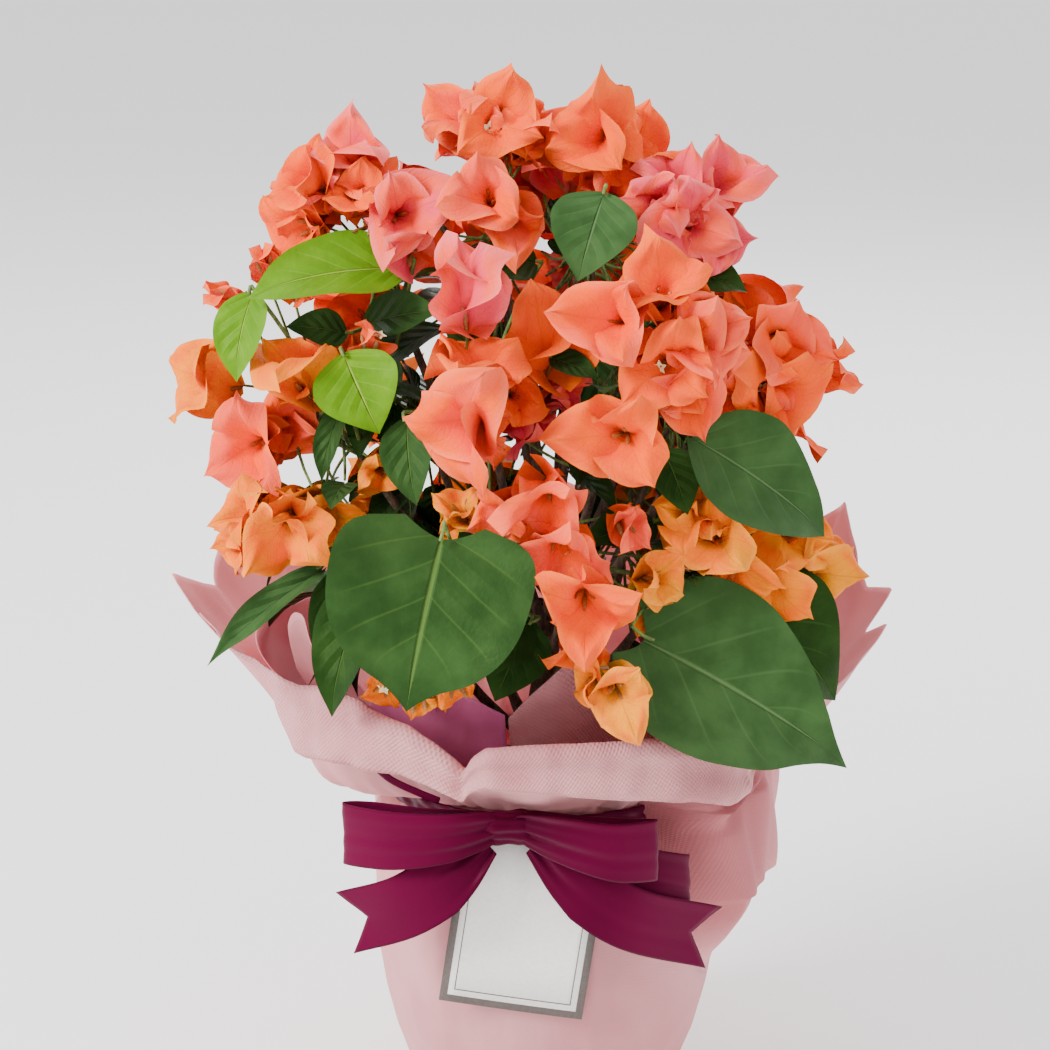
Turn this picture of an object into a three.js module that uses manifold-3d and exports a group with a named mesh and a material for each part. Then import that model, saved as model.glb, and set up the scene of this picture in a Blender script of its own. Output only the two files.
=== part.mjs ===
// A bougainvillea bush in a plastic pot, dressed as a gift: a non-woven wrap gathered round the
// pot by a ribbon, with a plum lining, a bow and a card. Millimetres, +Z up. The origin is the centre
// of the flat underside, and the bow and the card face -Y.
import * as THREE from "three";
import { mergeVertices } from "three/addons/utils/BufferGeometryUtils.js";
import Module from "manifold-3d";

const wasm = await Module();
wasm.setup();

// Driving dimensions
const gap = 0.3; // between pieces that touch
const pot = { height: 140, foot: 51, shoulder: 68, rim: 74, rimDepth: 12, wall: 2, soilBelowRim: 19 };
const sheet = { thick: 1, foot: 57, belly: 78, tie: 70, tieHeight: 158, neck: 9, pleats: 12, ripple: 0.8 };
const ribbon = { width: 28, thick: 0.9, bandDepth: 7.6, gathered: 10, notch: 12 };
const card = { width: 64, height: 88, thick: 1.4, tilt: 8.5, middle: [-9, 113] };
const trunk = { base: 8, tip: 2.2, flare: 4.5, flareHeight: 9, sides: 8, steps: 16 };
// A bough starts on the trunk above the bough before it, and bends at its elbow, which is given as
// shares of the way out and up.
const bough = { base: 2.6, tip: 1.7, lowest: 150, apart: 6, elbowOut: 0.55, elbowUp: 0.36 };
const twig = { stem: 1.6, stemLength: 8, branch: 1.1, stalk: 0.8, taper: 0.25 };
// As shares of a leaf's length, and the least thickness in mm
const leafShape = { cup: 0.08, droop: 0.07, middle: 0.42, thick: 0.014, thinnest: 0.9, knee: 0.09 };
// As shares of a bract's length. The valley between two bracts lies that far out and up.
const bract = { width: 0.82, flare: 0.14, curl: 0.35, valleyOut: 0.07, valleyUp: 0.12 };
// How far the blooms of a spray stand apart, their lean per mm off its middle, how far apart their
// stalks leave the branch, the stalk's length as a share of a bract's and what each bloom adds to it
const bloom = { apart: 34, lean: 0.022, step: 3.5, stalk: 0.75, stalkEach: 3 };
// A bloom that finds no room is tried again, each time turned, smaller and less open.
const retry = { times: 14, turn: 0.45, shrink: 0.02, close: 0.05, leastOpen: 0.5 };
// Leaves that fill: their length, how far from the heart they start, their width and hang as shares
// of the length, and the places each of them may try
const filler = { shortest: 30, longest: 56, nearest: 18, furthest: 46, width: 0.68, hang: 0.3, tries: 9 };
const golden = THREE.MathUtils.degToRad(137.508);

const vec = (x, y, z) => new THREE.Vector3(x, y, z);
const rad = THREE.MathUtils.degToRad;
const mix = THREE.MathUtils.lerp;
const cross = (a, b) => vec(0, 0, 0).crossVectors(a, b).normalize();
const potFloor = sheet.thick + gap;
const soilTop = potFloor + pot.height - pot.soilBelowRim;

// Numbers from 0 to 1 that are the same on every run.
function seeded(seed) {
  let state = seed;
  return () => {
    state = (state * 1664525 + 1013904223) % 4294967296;
    return state / 4294967296;
  };
}

// The direction of an azimuth and an elevation in degrees: 0, 0 looks at -Y, and 90, 0 at +X.
function facing(azimuth, elevation) {
  const flat = Math.cos(rad(elevation));
  return vec(Math.sin(rad(azimuth)) * flat, -Math.cos(rad(azimuth)) * flat, Math.sin(rad(elevation)));
}

// Solids

function closedGeometry(points, triangles) {
  const made = new THREE.BufferGeometry();
  made.setAttribute("position", new THREE.Float32BufferAttribute(points.flatMap((p) => p.toArray()), 3));
  made.setIndex(triangles.flat());
  return made;
}

function solidOf(geometry) {
  const bare = geometry.index ? geometry.toNonIndexed() : geometry.clone();
  bare.deleteAttribute("normal");
  bare.deleteAttribute("uv");
  const merged = mergeVertices(bare, 1e-4);
  return new wasm.Manifold(
    new wasm.Mesh({
      numProp: 3,
      vertProperties: merged.attributes.position.array,
      triVerts: new Uint32Array(merged.index.array),
    }),
  );
}

function geometryOf(solid) {
  const { vertProperties, triVerts } = solid.getMesh();
  const made = new THREE.BufferGeometry();
  made.setAttribute("position", new THREE.BufferAttribute(vertProperties, 3));
  made.setIndex(new THREE.BufferAttribute(triVerts, 1));
  return made;
}

// One solid from many that touch: the largest body, with any sealed hollow in it filled.
function fused(solids) {
  const bodies = wasm.Manifold.union(solids).simplify(0.06).decompose();
  return bodies.reduce((a, b) => (b.volume() > a.volume() ? b : a));
}

// A sheet of even thickness over a grid of points, closed all round.
function shell(rows, thick) {
  const across = rows[0].length;
  const at = (i, j) => rows[Math.min(Math.max(i, 0), rows.length - 1)][Math.min(Math.max(j, 0), across - 1)];
  const front = [];
  const back = [];
  rows.forEach((row, i) =>
    row.forEach((p, j) => {
      const along = vec(0, 0, 0).subVectors(at(i + 1, j), at(i - 1, j));
      const side = vec(0, 0, 0).subVectors(at(i, j + 1), at(i, j - 1));
      const normal = cross(side, along);
      front.push(p.clone().addScaledVector(normal, thick / 2));
      back.push(p.clone().addScaledVector(normal, -thick / 2));
    }),
  );
  const count = rows.length * across;
  const triangles = [];
  const quad = (a, b, c, d) => triangles.push([a, b, c], [a, c, d]);
  for (let i = 0; i + 1 < rows.length; i++)
    for (let j = 0; j + 1 < across; j++) {
      const a = i * across + j;
      quad(a, a + 1, a + across + 1, a + across);
      quad(count + a, count + a + across, count + a + across + 1, count + a + 1);
    }
  const last = count - across;
  const rim = [
    ...Array.from({ length: across - 1 }, (_, j) => j),
    ...Array.from({ length: rows.length - 1 }, (_, i) => i * across + across - 1),
    ...Array.from({ length: across - 1 }, (_, j) => count - 1 - j),
    ...Array.from({ length: rows.length - 1 }, (_, i) => last - i * across),
  ];
  rim.forEach((a, k) => {
    const b = rim[(k + 1) % rim.length];
    quad(a, count + a, count + b, b);
  });
  return closedGeometry([...front, ...back], triangles);
}

// A tapering limb along a curve, with flat ends.
function limb(curve, radiusAt, sides, steps) {
  const frames = curve.computeFrenetFrames(steps, false);
  const points = [];
  for (let i = 0; i <= steps; i++)
    for (let k = 0; k < sides; k++) {
      const turn = (k / sides) * Math.PI * 2;
      const out = frames.normals[i].clone().multiplyScalar(Math.cos(turn));
      out.addScaledVector(frames.binormals[i], Math.sin(turn));
      points.push(curve.getPoint(i / steps).addScaledVector(out, radiusAt(i / steps)));
    }
  const triangles = [];
  for (let i = 0; i < steps; i++)
    for (let k = 0; k < sides; k++) {
      const [a, b] = [i * sides + k, i * sides + ((k + 1) % sides)];
      triangles.push([a, b, b + sides], [a, b + sides, a + sides]);
    }
  const last = steps * sides;
  for (let k = 1; k + 1 < sides; k++) triangles.push([0, k + 1, k], [last, last + k, last + k + 1]);
  return solidOf(closedGeometry(points, triangles));
}

function twigBetween(a, b, radius) {
  return limb(new THREE.LineCurve3(a, b), (t) => radius * (1 - twig.taper * t), 3, 1);
}

// Half outlines of the blades: how far along, and the half width as a share of the whole width.
const outlines = {
  heart: [[-0.06, 0.26], [0.1, 0.46], [0.36, 0.5], [0.64, 0.34], [0.87, 0.1]],
  leaf: [[0.1, 0.34], [0.38, 0.5], [0.74, 0.27]],
  bract: [[0.22, 0.34], [0.45, 0.5], [0.74, 0.3]],
};

// The triangles of a three-sided stalk that goes on from a ring of corners to another one.
function stalkTriangles(ring, foot) {
  const sides = ring.flatMap((corner, k) => {
    const next = (k + 1) % 3;
    return [[ring[next], corner, foot[k]], [ring[next], foot[k], foot[next]]];
  });
  return [...sides, foot.toReversed()];
}

// A leaf on its stalk, as one closed body. The blade is a fan of faces on each side of a thicker
// middle; face is the way its upper side looks, and the stalk starts at from.
function leafOn(from, { base, tip, face, width, outline = "leaf" }) {
  const length = base.distanceTo(tip);
  const along = tip.clone().sub(base).normalize();
  const side = cross(along, face);
  const up = cross(side, along);
  const place = ([t, w]) =>
    base.clone().addScaledVector(along, t * length).addScaledVector(side, w * width)
      .addScaledVector(up, length * (leafShape.cup * Math.abs(w) * 2 - leafShape.droop * (2 * t - 1) ** 2));
  const half = outlines[outline];
  const edge = [...half, [1, 0], ...half.toReversed().map(([t, w]) => [t, -w])].map(place);
  const root = place([0, 0]);
  const around = [side.clone().negate(), up, side].map((v) => v.clone().multiplyScalar(twig.stalk));
  const middle = place([leafShape.middle, 0]);
  const thick = Math.max(leafShape.thinnest, length * leafShape.thick);
  const points = [
    ...edge,
    ...around.map((v) => root.clone().add(v)),
    ...around.map((v) => from.clone().add(v)),
    middle.clone().addScaledVector(up, thick / 2),
    middle.clone().addScaledVector(up, -thick / 2),
  ];
  const count = edge.length;
  const [left, over, right] = [count, count + 1, count + 2];
  const [top, bottom] = [count + 6, count + 7];
  const rim = [right, ...edge.map((_, i) => i), left];
  const triangles = [[left, over, top], [over, right, top], [right, left, bottom]];
  for (let i = 0; i + 1 < rim.length; i++) {
    triangles.push([rim[i], rim[i + 1], top], [rim[i + 1], rim[i], bottom]);
  }
  triangles.push(...stalkTriangles([left, over, right], [count + 3, count + 4, count + 5]));
  return solidOf(closedGeometry(points, triangles));
}

// A bloom on its stalk, as one closed body: three papery bracts that stand round the stalk's end.
function bloomOn(from, { root, axis, size, open, roll }) {
  const across = cross(axis, Math.abs(axis.z) > 0.9 ? vec(1, 0, 0) : vec(0, 0, 1));
  const lean = rad(open);
  const half = outlines.bract;
  const rim = [];
  const ring = [];
  for (let k = 0; k < 3; k++) {
    const turn = roll + (k / 3) * Math.PI * 2;
    const out = across.clone().applyAxisAngle(axis, turn);
    const along = axis.clone().multiplyScalar(Math.cos(lean)).addScaledVector(out, Math.sin(lean));
    const face = axis.clone().multiplyScalar(Math.sin(lean)).addScaledVector(out, -Math.cos(lean));
    const side = cross(along, face);
    const between = across.clone().applyAxisAngle(axis, turn - Math.PI / 3);
    rim.push(root.clone().addScaledVector(between, bract.valleyOut * size)
      .addScaledVector(axis, bract.valleyUp * size));
    [...half, [1, 0], ...half.toReversed().map(([t, w]) => [t, -w])].forEach(([t, w]) => {
      const back = bract.flare * Math.abs(w) * 2 + bract.curl * Math.max(0, t - 0.5) ** 2;
      rim.push(root.clone().addScaledVector(along, t * size).addScaledVector(side, w * size * bract.width)
        .addScaledVector(face, -size * back));
    });
    ring.push(out.multiplyScalar(twig.stalk));
  }
  const points = [
    ...rim,
    ...ring.map((v) => root.clone().add(v).addScaledVector(axis, -1)),
    ...ring.map((v) => from.clone().add(v)),
    root.clone().addScaledVector(axis, 1.2),
  ];
  const count = rim.length;
  const each = count / 3;
  const triangles = rim.flatMap((_, i) => {
    const next = (i + 1) % count;
    return [[i, next, count + 6], [next, i, count + Math.floor(i / each)]];
  });
  [0, 1, 2].forEach((k) => triangles.push([((k + 1) % 3) * each, count + k, count + ((k + 1) % 3)]));
  triangles.push(...stalkTriangles([count, count + 1, count + 2], [count + 3, count + 4, count + 5]));
  return solidOf(closedGeometry(points, triangles));
}

// The masses of the crown. heart is where the mass's stem leaves its bough. A spray is a cluster of
// blooms: where its middle is, which way it faces, how many blooms it has, how far they spread, the
// length of a bract and how wide the bracts open. A leaf runs from base to tip and faces a way.
// filler is how many more leaves stand round the heart.
const masses = {
  bloom_top_left: {
    heart: [-16, 2, 372],
    sprays: [
      { at: [-24, -20, 452], face: [-12, 42], blooms: 3, size: 37, open: 40 },
      { at: [-29, -56, 424], face: [-5, 22], blooms: 2, size: 36, open: 36 },
    ],
    leaves: [],
    filler: 3,
  },
  bloom_top_right: {
    heart: [20, -4, 384],
    sprays: [{ at: [25, -15, 442], face: [22, 38], blooms: 3, size: 40, open: 36 }],
    leaves: [{ base: [24, -62, 431], tip: [13, -84, 399], width: 37, face: [-8, 12] }],
    filler: 3,
  },
  bloom_upper_left: {
    heart: [-62, -8, 366],
    sprays: [
      { at: [-88, -30, 422], face: [-25, 32], blooms: 5, size: 36, open: 38 },
      { at: [-55, -44, 420], face: [5, 30], blooms: 1, size: 36, open: 38 },
    ],
    leaves: [
      { base: [-79, -40, 371], tip: [-46, -58, 381], width: 24, face: [0, 40] },
      { base: [-86, -36, 366], tip: [-111, -44, 371], width: 18, face: [0, 35] },
    ],
    filler: 3,
  },
  bloom_upper_right: {
    heart: [52, -4, 358],
    sprays: [{ at: [68, -26, 408], face: [28, 26], blooms: 4, size: 36, open: 40 }],
    leaves: [{ base: [60, -40, 394], tip: [86, -50, 388], width: 20, face: [10, 50] }],
    filler: 3,
  },
  bloom_right: {
    heart: [66, -30, 322],
    sprays: [{ at: [96, -52, 359], face: [38, 12], blooms: 4, size: 38, open: 42 }],
    leaves: [{ base: [66, -86, 334], tip: [122, -74, 287], width: 60, face: [20, 30] }],
    filler: 2,
  },
  bloom_front_right: {
    heart: [28, -42, 334],
    sprays: [
      { at: [26, -88, 385], face: [-12, 22], blooms: 2, size: 40, open: 38 },
      { at: [52, -86, 374], face: [12, 12], blooms: 3, size: 38, open: 42 },
      { at: [30, -112, 339], face: [8, 14], blooms: 1, size: 40, open: 60 },
    ],
    leaves: [
      { base: [50, -78, 324], tip: [60, -92, 300], width: 22, face: [10, 20] },
      { base: [2, -76, 364], tip: [22, -84, 357], width: 13, face: [0, 45] },
    ],
    filler: 2,
  },
  bloom_front: {
    heart: [-24, -42, 326],
    sprays: [
      { at: [-34, -86, 388], face: [0, 80], blooms: 1, size: 38, open: 16 },
      { at: [-30, -104, 361], face: [-8, 4], blooms: 3, size: 40, open: 46 },
      { at: [-1, -74, 370], face: [10, 65], blooms: 1, size: 36, open: 30 },
    ],
    leaves: [
      { base: [-4, -52, 400], tip: [-30, -62, 404], width: 24, face: [0, 40] },
      { base: [-60, -74, 336], tip: [-56, -90, 303], width: 24, face: [-20, 20] },
    ],
    filler: 2,
  },
  spray_left: {
    heart: [-78, -26, 304],
    sprays: [
      { at: [-146, -20, 341], face: [-60, 12], blooms: 1, size: 38, open: 42 },
      { at: [-108, -50, 353], face: [-18, 6], blooms: 1, size: 44, open: 48 },
      { at: [-126, -45, 317], face: [-28, -8], blooms: 2, size: 38, open: 44 },
    ],
    leaves: [
      { base: [-62, -46, 399], tip: [-127, -60, 390], width: 42, face: [0, 58] },
      { base: [-127, -46, 385], tip: [-134, -60, 350], width: 27, face: [-30, 20] },
      { base: [-86, -64, 362], tip: [-71, -80, 332], width: 38, face: [-10, 30] },
      { base: [-88, -52, 338], tip: [-98, -62, 306], width: 14, face: [-30, 20] },
    ],
    filler: 2,
  },
  spray_low_left: {
    heart: [-66, -30, 256],
    sprays: [{ at: [-113, -68, 287], face: [-25, -8], blooms: 3, size: 38, open: 46 }],
    leaves: [
      { base: [-97, -76, 272], tip: [-145, -94, 234], width: 34, face: [10, 50] },
      { base: [-80, -94, 271], tip: [-90, -119, 213], width: 38, face: [-30, 20] },
    ],
    filler: 2,
  },
  leaf_front: {
    heart: [-32, -56, 256],
    sprays: [
      { at: [-46, -106, 232], face: [-5, -50], blooms: 3, size: 24, open: 50 },
      { at: [-36, -88, 300], face: [0, 30], blooms: 1, size: 22, open: 40 },
    ],
    leaves: [
      { base: [-46, -112, 294], tip: [-58, -144, 224], width: 86, face: [-4, 26], outline: "heart" },
      { base: [-6, -84, 250], tip: [-40, -100, 238], width: 30, face: [10, 30] },
    ],
    filler: 1,
  },
  bloom_low_front: {
    heart: [10, -56, 266],
    sprays: [
      { at: [-1, -108, 310], face: [-6, 12], blooms: 2, size: 38, open: 46 },
      { at: [16, -116, 276], face: [2, -2], blooms: 2, size: 36, open: 48 },
      { at: [14, -104, 246], face: [-10, -20], blooms: 1, size: 26, open: 40 },
      { at: [26, -130, 230], face: [-2, -4], blooms: 1, size: 36, open: 46 },
      { at: [46, -94, 272], face: [20, 10], blooms: 1, size: 24, open: 30 },
    ],
    leaves: [{ base: [46, -82, 294], tip: [16, -100, 290], width: 22, face: [0, 40] }],
    filler: 1,
  },
  bloom_low_right: {
    heart: [58, -44, 262],
    sprays: [
      { at: [78, -86, 281], face: [18, 2], blooms: 3, size: 36, open: 44 },
      { at: [108, -64, 273], face: [42, -6], blooms: 3, size: 38, open: 44 },
    ],
    leaves: [
      { base: [46, -98, 250], tip: [130, -92, 186], width: 78, face: [8, 34], outline: "heart" },
      { base: [76, -60, 264], tip: [121, -50, 212], width: 44, face: [20, 30] },
    ],
    filler: 1,
  },
};

// The side of the crown that faces away, in rings that go on from the masses in front.
const backRings = [
  { name: "upper", height: 418, radius: 60, azimuths: [150, -140], blooms: 5, filler: 4, lift: 32 },
  { name: "middle", height: 345, radius: 106, azimuths: [100, 172, -106], blooms: 5, filler: 5, lift: 12 },
  { name: "lower", height: 278, radius: 98, azimuths: [134, -142], blooms: 5, filler: 5, lift: -6 },
];
backRings.forEach((ring) =>
  ring.azimuths.forEach((azimuth, k) => {
    const out = facing(azimuth, 0);
    masses[`bloom_back_${ring.name}_${k + 1}`] = {
      heart: out.clone().multiplyScalar(ring.radius * 0.48).setZ(ring.height - 44).toArray(),
      sprays: [{
        at: out.clone().multiplyScalar(ring.radius).setZ(ring.height).toArray(),
        face: [azimuth, ring.lift], blooms: ring.blooms, size: 37, open: 42,
      }],
      leaves: [],
      filler: ring.filler,
    };
  }),
);

// The blooms of a spray stand in a ring and lean outwards.
function bloomsOf(spray, random) {
  const axis = facing(...spray.face);
  const side = facing(spray.face[0] + 90, 0);
  const start = random() * Math.PI * 2;
  const off = spray.blooms > 1 ? bloom.apart / (2 * Math.sin(Math.PI / spray.blooms)) : 0;
  return Array.from({ length: spray.blooms }, (_, k) => {
    const out = side.clone().applyAxisAngle(axis, start + (k / spray.blooms) * Math.PI * 2);
    const lean = axis.clone().addScaledVector(out, off * bloom.lean).normalize();
    const size = spray.size * mix(0.92, 1.08, random());
    const root = vec(...spray.at).addScaledVector(out, off).addScaledVector(axis, -0.3 * off)
      .addScaledVector(lean, -0.45 * size);
    const open = spray.open * mix(0.85, 1.15, random());
    return { root, axis: lean, size, open, roll: random() * Math.PI * 2 };
  });
}

// Leaves that stand round the heart of a mass, look outwards and hang a little. Each has a few
// places to try.
function fillersOf(mass, random) {
  const heart = vec(...mass.heart);
  const outward = heart.clone().setZ(0).normalize();
  const side = vec(-outward.y, outward.x, 0);
  const start = random() * Math.PI * 2;
  return Array.from({ length: mass.filler * filler.tries }, (_, k) => {
    const turn = start + k * golden;
    const out = outward.clone().multiplyScalar(0.1 + 0.9 * random())
      .addScaledVector(side, Math.cos(turn)).add(vec(0, 0, Math.sin(turn) * 0.8)).normalize();
    const length = mix(filler.shortest, filler.longest, random());
    const base = heart.clone().addScaledVector(out, mix(filler.nearest, filler.furthest, random()));
    const tip = base.clone().addScaledVector(out, length).add(vec(0, 0, -length * filler.hang));
    return { base, tip, width: length * filler.width, face: vec(out.x, out.y, 1.2) };
  });
}

// What stands in place already: each solid with its owner, and whether it is a blade or wood

const taken = [];

function boxOf(solid) {
  const { min, max } = solid.boundingBox();
  return new THREE.Box3(vec(...min), vec(...max));
}

function take(owner, solid, isBlade = false) {
  taken.push({ owner, solid, isBlade, box: boxOf(solid).expandByScalar(1) });
}

// Only the wood of one mass may touch.
function isClear(owner, solid, isBlade = false) {
  const box = boxOf(solid);
  return taken.every((t) => {
    if (t.owner === owner && !isBlade && !t.isBlade) return true;
    return !t.box.intersectsBox(box) || t.solid.minGap(solid, 1) >= gap;
  });
}

// The trunk and the boughs

const trunkCurve = new THREE.CatmullRomCurve3([
  vec(0, 0, soilTop - 5),
  vec(-1, -1, soilTop + 12),
  vec(-4, -2, 175),
  vec(3, 3, 235),
  vec(-3, 5, 295),
  vec(...masses.bloom_top_left.heart),
]);

function growTrunk(extra) {
  const ground = soilTop + gap;
  const radius = (t) => {
    const rise = Math.max(0, trunkCurve.getPoint(t).z - soilTop);
    const flare = trunk.flare * Math.exp(-rise / trunk.flareHeight);
    return mix(trunk.base, trunk.tip, Math.sqrt(t)) + flare + extra;
  };
  return limb(trunkCurve, radius, trunk.sides, trunk.steps).trimByPlane([0, 0, 1], ground);
}

function trunkAt(height) {
  let t = 0;
  while (trunkCurve.getPoint(t).z < height) t += 0.01;
  return trunkCurve.getPoint(t);
}

// Each bough leaves the trunk at the lowest height, above the bough before it, where it runs clear.
function growBoughs() {
  const aroundTrunk = growTrunk(gap * 1.5);
  const boughs = {};
  let height = bough.lowest;
  const names = Object.keys(masses).filter((name) => name !== "bloom_top_left");
  names.sort((a, b) => masses[a].heart[2] - masses[b].heart[2]);
  const grow = (name, from) => {
    const [start, heart] = [trunkAt(from), vec(...masses[name].heart)];
    const elbow = start.clone().lerp(heart, bough.elbowOut).setZ(mix(start.z, heart.z, bough.elbowUp));
    const curve = new THREE.QuadraticBezierCurve3(start, elbow, heart);
    const solid = fused([limb(curve, (t) => mix(bough.base, bough.tip, t), 5, 4).subtract(aroundTrunk)]);
    return { curve, solid };
  };
  names.forEach((name) => {
    const heights = [0, 1, 2, 3, 4, 5].map((k) => height + k * bough.apart * 0.5);
    const from = heights.find((h) => isClear(name, grow(name, h).solid)) ?? height;
    boughs[name] = grow(name, from);
    take(`bough_of_${name}`, boughs[name].solid);
    height += bough.apart;
  });
  return boughs;
}

// Growing the masses: the stems and branches of all of them first, then the leaves that have a
// place of their own, the blooms, and last the leaves that fill. What would come nearer than the gap
// to another piece is tried again smaller and turned, and then left out.

function startMass(name, tangent) {
  const heart = vec(...masses[name].heart);
  const [start, end] = [gap, twig.stemLength].map((off) => heart.clone().addScaledVector(tangent, off));
  const stem = limb(new THREE.LineCurve3(start, end), () => twig.stem, 5, 1);
  take(name, stem);
  const fork = heart.clone().addScaledVector(tangent, twig.stemLength - twig.stem);
  return { name, fork, kept: [stem], random: seeded(7919 * (1 + Object.keys(masses).indexOf(name))) };
}

function grow(grown, solid) {
  const clear = isClear(grown.name, solid);
  if (clear) {
    take(grown.name, solid);
    grown.kept.push(solid);
  }
  return clear;
}

// make gives the blade on a stalk that starts at a place. With next to no stalk it is tried against
// the blades near it, and its stalk then against the other masses.
function growBlade(grown, from, root, make) {
  const bare = make(root.clone().lerp(from, 0.05));
  const stalk = twigBetween(root.clone().lerp(from, 0.05), from, twig.stalk + gap);
  const clear = isClear(grown.name, bare, true) && isClear(grown.name, stalk);
  if (clear) {
    take(grown.name, bare, true);
    take(grown.name, stalk);
    grown.kept.push(make(from));
  }
  return clear;
}

function growBranches(grown) {
  grown.hubs = masses[grown.name].sprays.map((spray) => {
    const length = spray.size * bloom.stalk + spray.blooms * bloom.stalkEach;
    const hub = vec(...spray.at).addScaledVector(facing(...spray.face), -length);
    return { hub, spray, borne: grow(grown, twigBetween(grown.fork, hub, twig.branch)) };
  });
}

// A leaf with a place of its own hangs from a knee at the end of its twig.
function growPlacedLeaf(grown, leaf) {
  const [base, tip] = [vec(...leaf.base), vec(...leaf.tip)];
  const knee = base.clone().lerp(tip, -leafShape.knee);
  if (!grow(grown, twigBetween(grown.fork, knee, twig.stalk + 0.1))) return;
  const hung = { ...leaf, base, tip, face: facing(...leaf.face) };
  growBlade(grown, knee, base, (foot) => leafOn(foot, hung));
}

function growFillers(grown) {
  const places = fillersOf(masses[grown.name], grown.random);
  const wanted = masses[grown.name].filler;
  let placed = 0;
  places.forEach((leaf) => {
    const from = grown.fork.clone().lerp(grown.hubs[0].hub, mix(0.1, 0.8, placed / wanted));
    if (placed < wanted && growBlade(grown, from, leaf.base, (foot) => leafOn(foot, leaf))) placed += 1;
  });
}

function growBlooms(grown) {
  grown.hubs.forEach(({ hub, spray, borne }) =>
    bloomsOf(spray, grown.random).forEach((wish, k) => {
      const from = hub.clone().lerp(grown.fork, (0.5 + bloom.step * k) / hub.distanceTo(grown.fork));
      const tries = Array.from({ length: retry.times }, (_, again) => ({
        ...wish,
        size: wish.size * (1 - retry.shrink * again),
        open: wish.open * Math.max(retry.leastOpen, 1 - retry.close * again),
        roll: wish.roll + retry.turn * again,
      }));
      if (borne) tries.some((tried) => growBlade(grown, from, wish.root, (foot) => bloomOn(foot, tried)));
    }),
  );
}

// The pot, the soil and the wrap below the ribbon

function turned(profile, segments) {
  const made = new THREE.LatheGeometry(profile.map(([r, z]) => new THREE.Vector2(r, z)), segments);
  return made.rotateX(Math.PI / 2);
}

function potGeometry() {
  const { foot, shoulder, rim, rimDepth, wall, height } = pot;
  const profile = [
    [0, 0], [foot - 3, 0], [foot, 3], [shoulder, height - rimDepth - 2], [rim, height - rimDepth],
    [rim, height], [rim - wall, height], [rim - wall, height - rimDepth],
    [shoulder - wall, height - rimDepth - 4], [foot - wall, 4], [0, 4],
  ];
  return turned(profile, 28).translate(0, 0, potFloor);
}

function soilGeometry() {
  const { foot, shoulder, wall, height, rimDepth, soilBelowRim } = pot;
  const top = height - soilBelowRim;
  const inner = (z) => mix(foot, shoulder, (z - 4) / (height - rimDepth - 8)) - wall - gap * 2;
  const profile = [[0, 4 + gap], [inner(4), 4 + gap], [inner(top), top - 2], [inner(top) - 4, top], [0, top]];
  return turned(profile, 28).translate(0, 0, potFloor);
}

// A cup that hugs the pot, with shallow upright pleats.
function sleeveGeometry() {
  const { thick, foot, belly, tie, tieHeight, neck, pleats } = sheet;
  const outside = [
    [foot - 2, 0], [foot, 2], [mix(foot, belly, 0.6), 34], [belly - 0.5, 74], [belly, pot.height + 2],
    [tie + sheet.ripple, tieHeight - neck], [tie, tieHeight],
  ];
  const inside = outside.slice(2).toReversed().map(([r, z]) => [r - thick, z]);
  const made = turned([[0, 0], ...outside, ...inside, [foot - 1.5 - thick, thick], [0, thick]], 3 * pleats);
  const place = made.attributes.position;
  for (let i = 0; i < place.count; i++) {
    const p = vec(0, 0, 0).fromBufferAttribute(place, i);
    const flat = Math.hypot(p.x, p.y);
    const wave = Math.cos(Math.atan2(p.y, p.x) * pleats) * THREE.MathUtils.smoothstep(p.z, 4, 50);
    const ripple = sheet.ripple * wave;
    if (flat > foot / 2) place.setXY(i, p.x * (1 + ripple / flat), p.y * (1 + ripple / flat));
  }
  return made;
}

// The wrap above the ribbon: lobes of one sheet. A rim is given by where it stands: an angle in
// degrees from +X (the front is at -90), a radius and a height. A cuff is turned down on the outside
// by that much at its two ends. An inset sheet starts that far inside the ribbon.
const lobes = {
  wrap_cuff_left: {
    rim: [[-168, 153, 242], [-152, 141, 229], [-138, 133, 219], [-120, 121, 205], [-108, 113, 193]],
    cuff: [30, 13],
  },
  wrap_cuff_right: {
    rim: [
      [-107.3, 114, 194], [-101, 117, 203], [-80, 118, 206], [-60, 117, 204], [-46, 113, 190],
      [-38, 110, 178],
    ],
    cuff: [14, 27],
  },
  wrap_tips_right: {
    rim: [[-37.3, 110, 180], [-22, 140, 214], [-11, 155, 232], [-7, 146, 224], [-3, 157, 243], [6, 146, 236]],
  },
  wrap_corner_back_right: { rim: [[6.7, 145, 236], [20, 149, 268], [38, 140, 238], [58, 134, 228]] },
  wrap_corner_back: {
    rim: [[58.7, 134, 228], [80, 138, 250], [94, 144, 262], [108, 136, 238], [119, 133, 228]],
  },
  wrap_corner_back_left: { rim: [[119.7, 133, 228], [140, 144, 250], [158, 152, 274], [168, 147, 242]] },
  wrap_tip_left: { rim: [[168.7, 147, 242], [180, 156, 246], [187, 168, 254], [191.3, 154, 243]] },
  lining_plum: { rim: [[-148, 92, 200], [-135, 97, 220], [-118, 96, 222], [-101, 94, 210]], inset: 3.5 },
  lining_fold_front: {
    rim: [[-100.3, 92, 208], [-92, 91, 222], [-80, 91, 236], [-66, 93, 218], [-56, 95, 200]],
    inset: 3.5,
  },
  lining_fold_left: {
    rim: [[-166, 112, 222], [-159, 118, 243], [-152, 118, 240], [-148.7, 110, 218]],
    inset: 3.5,
  },
};

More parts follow.
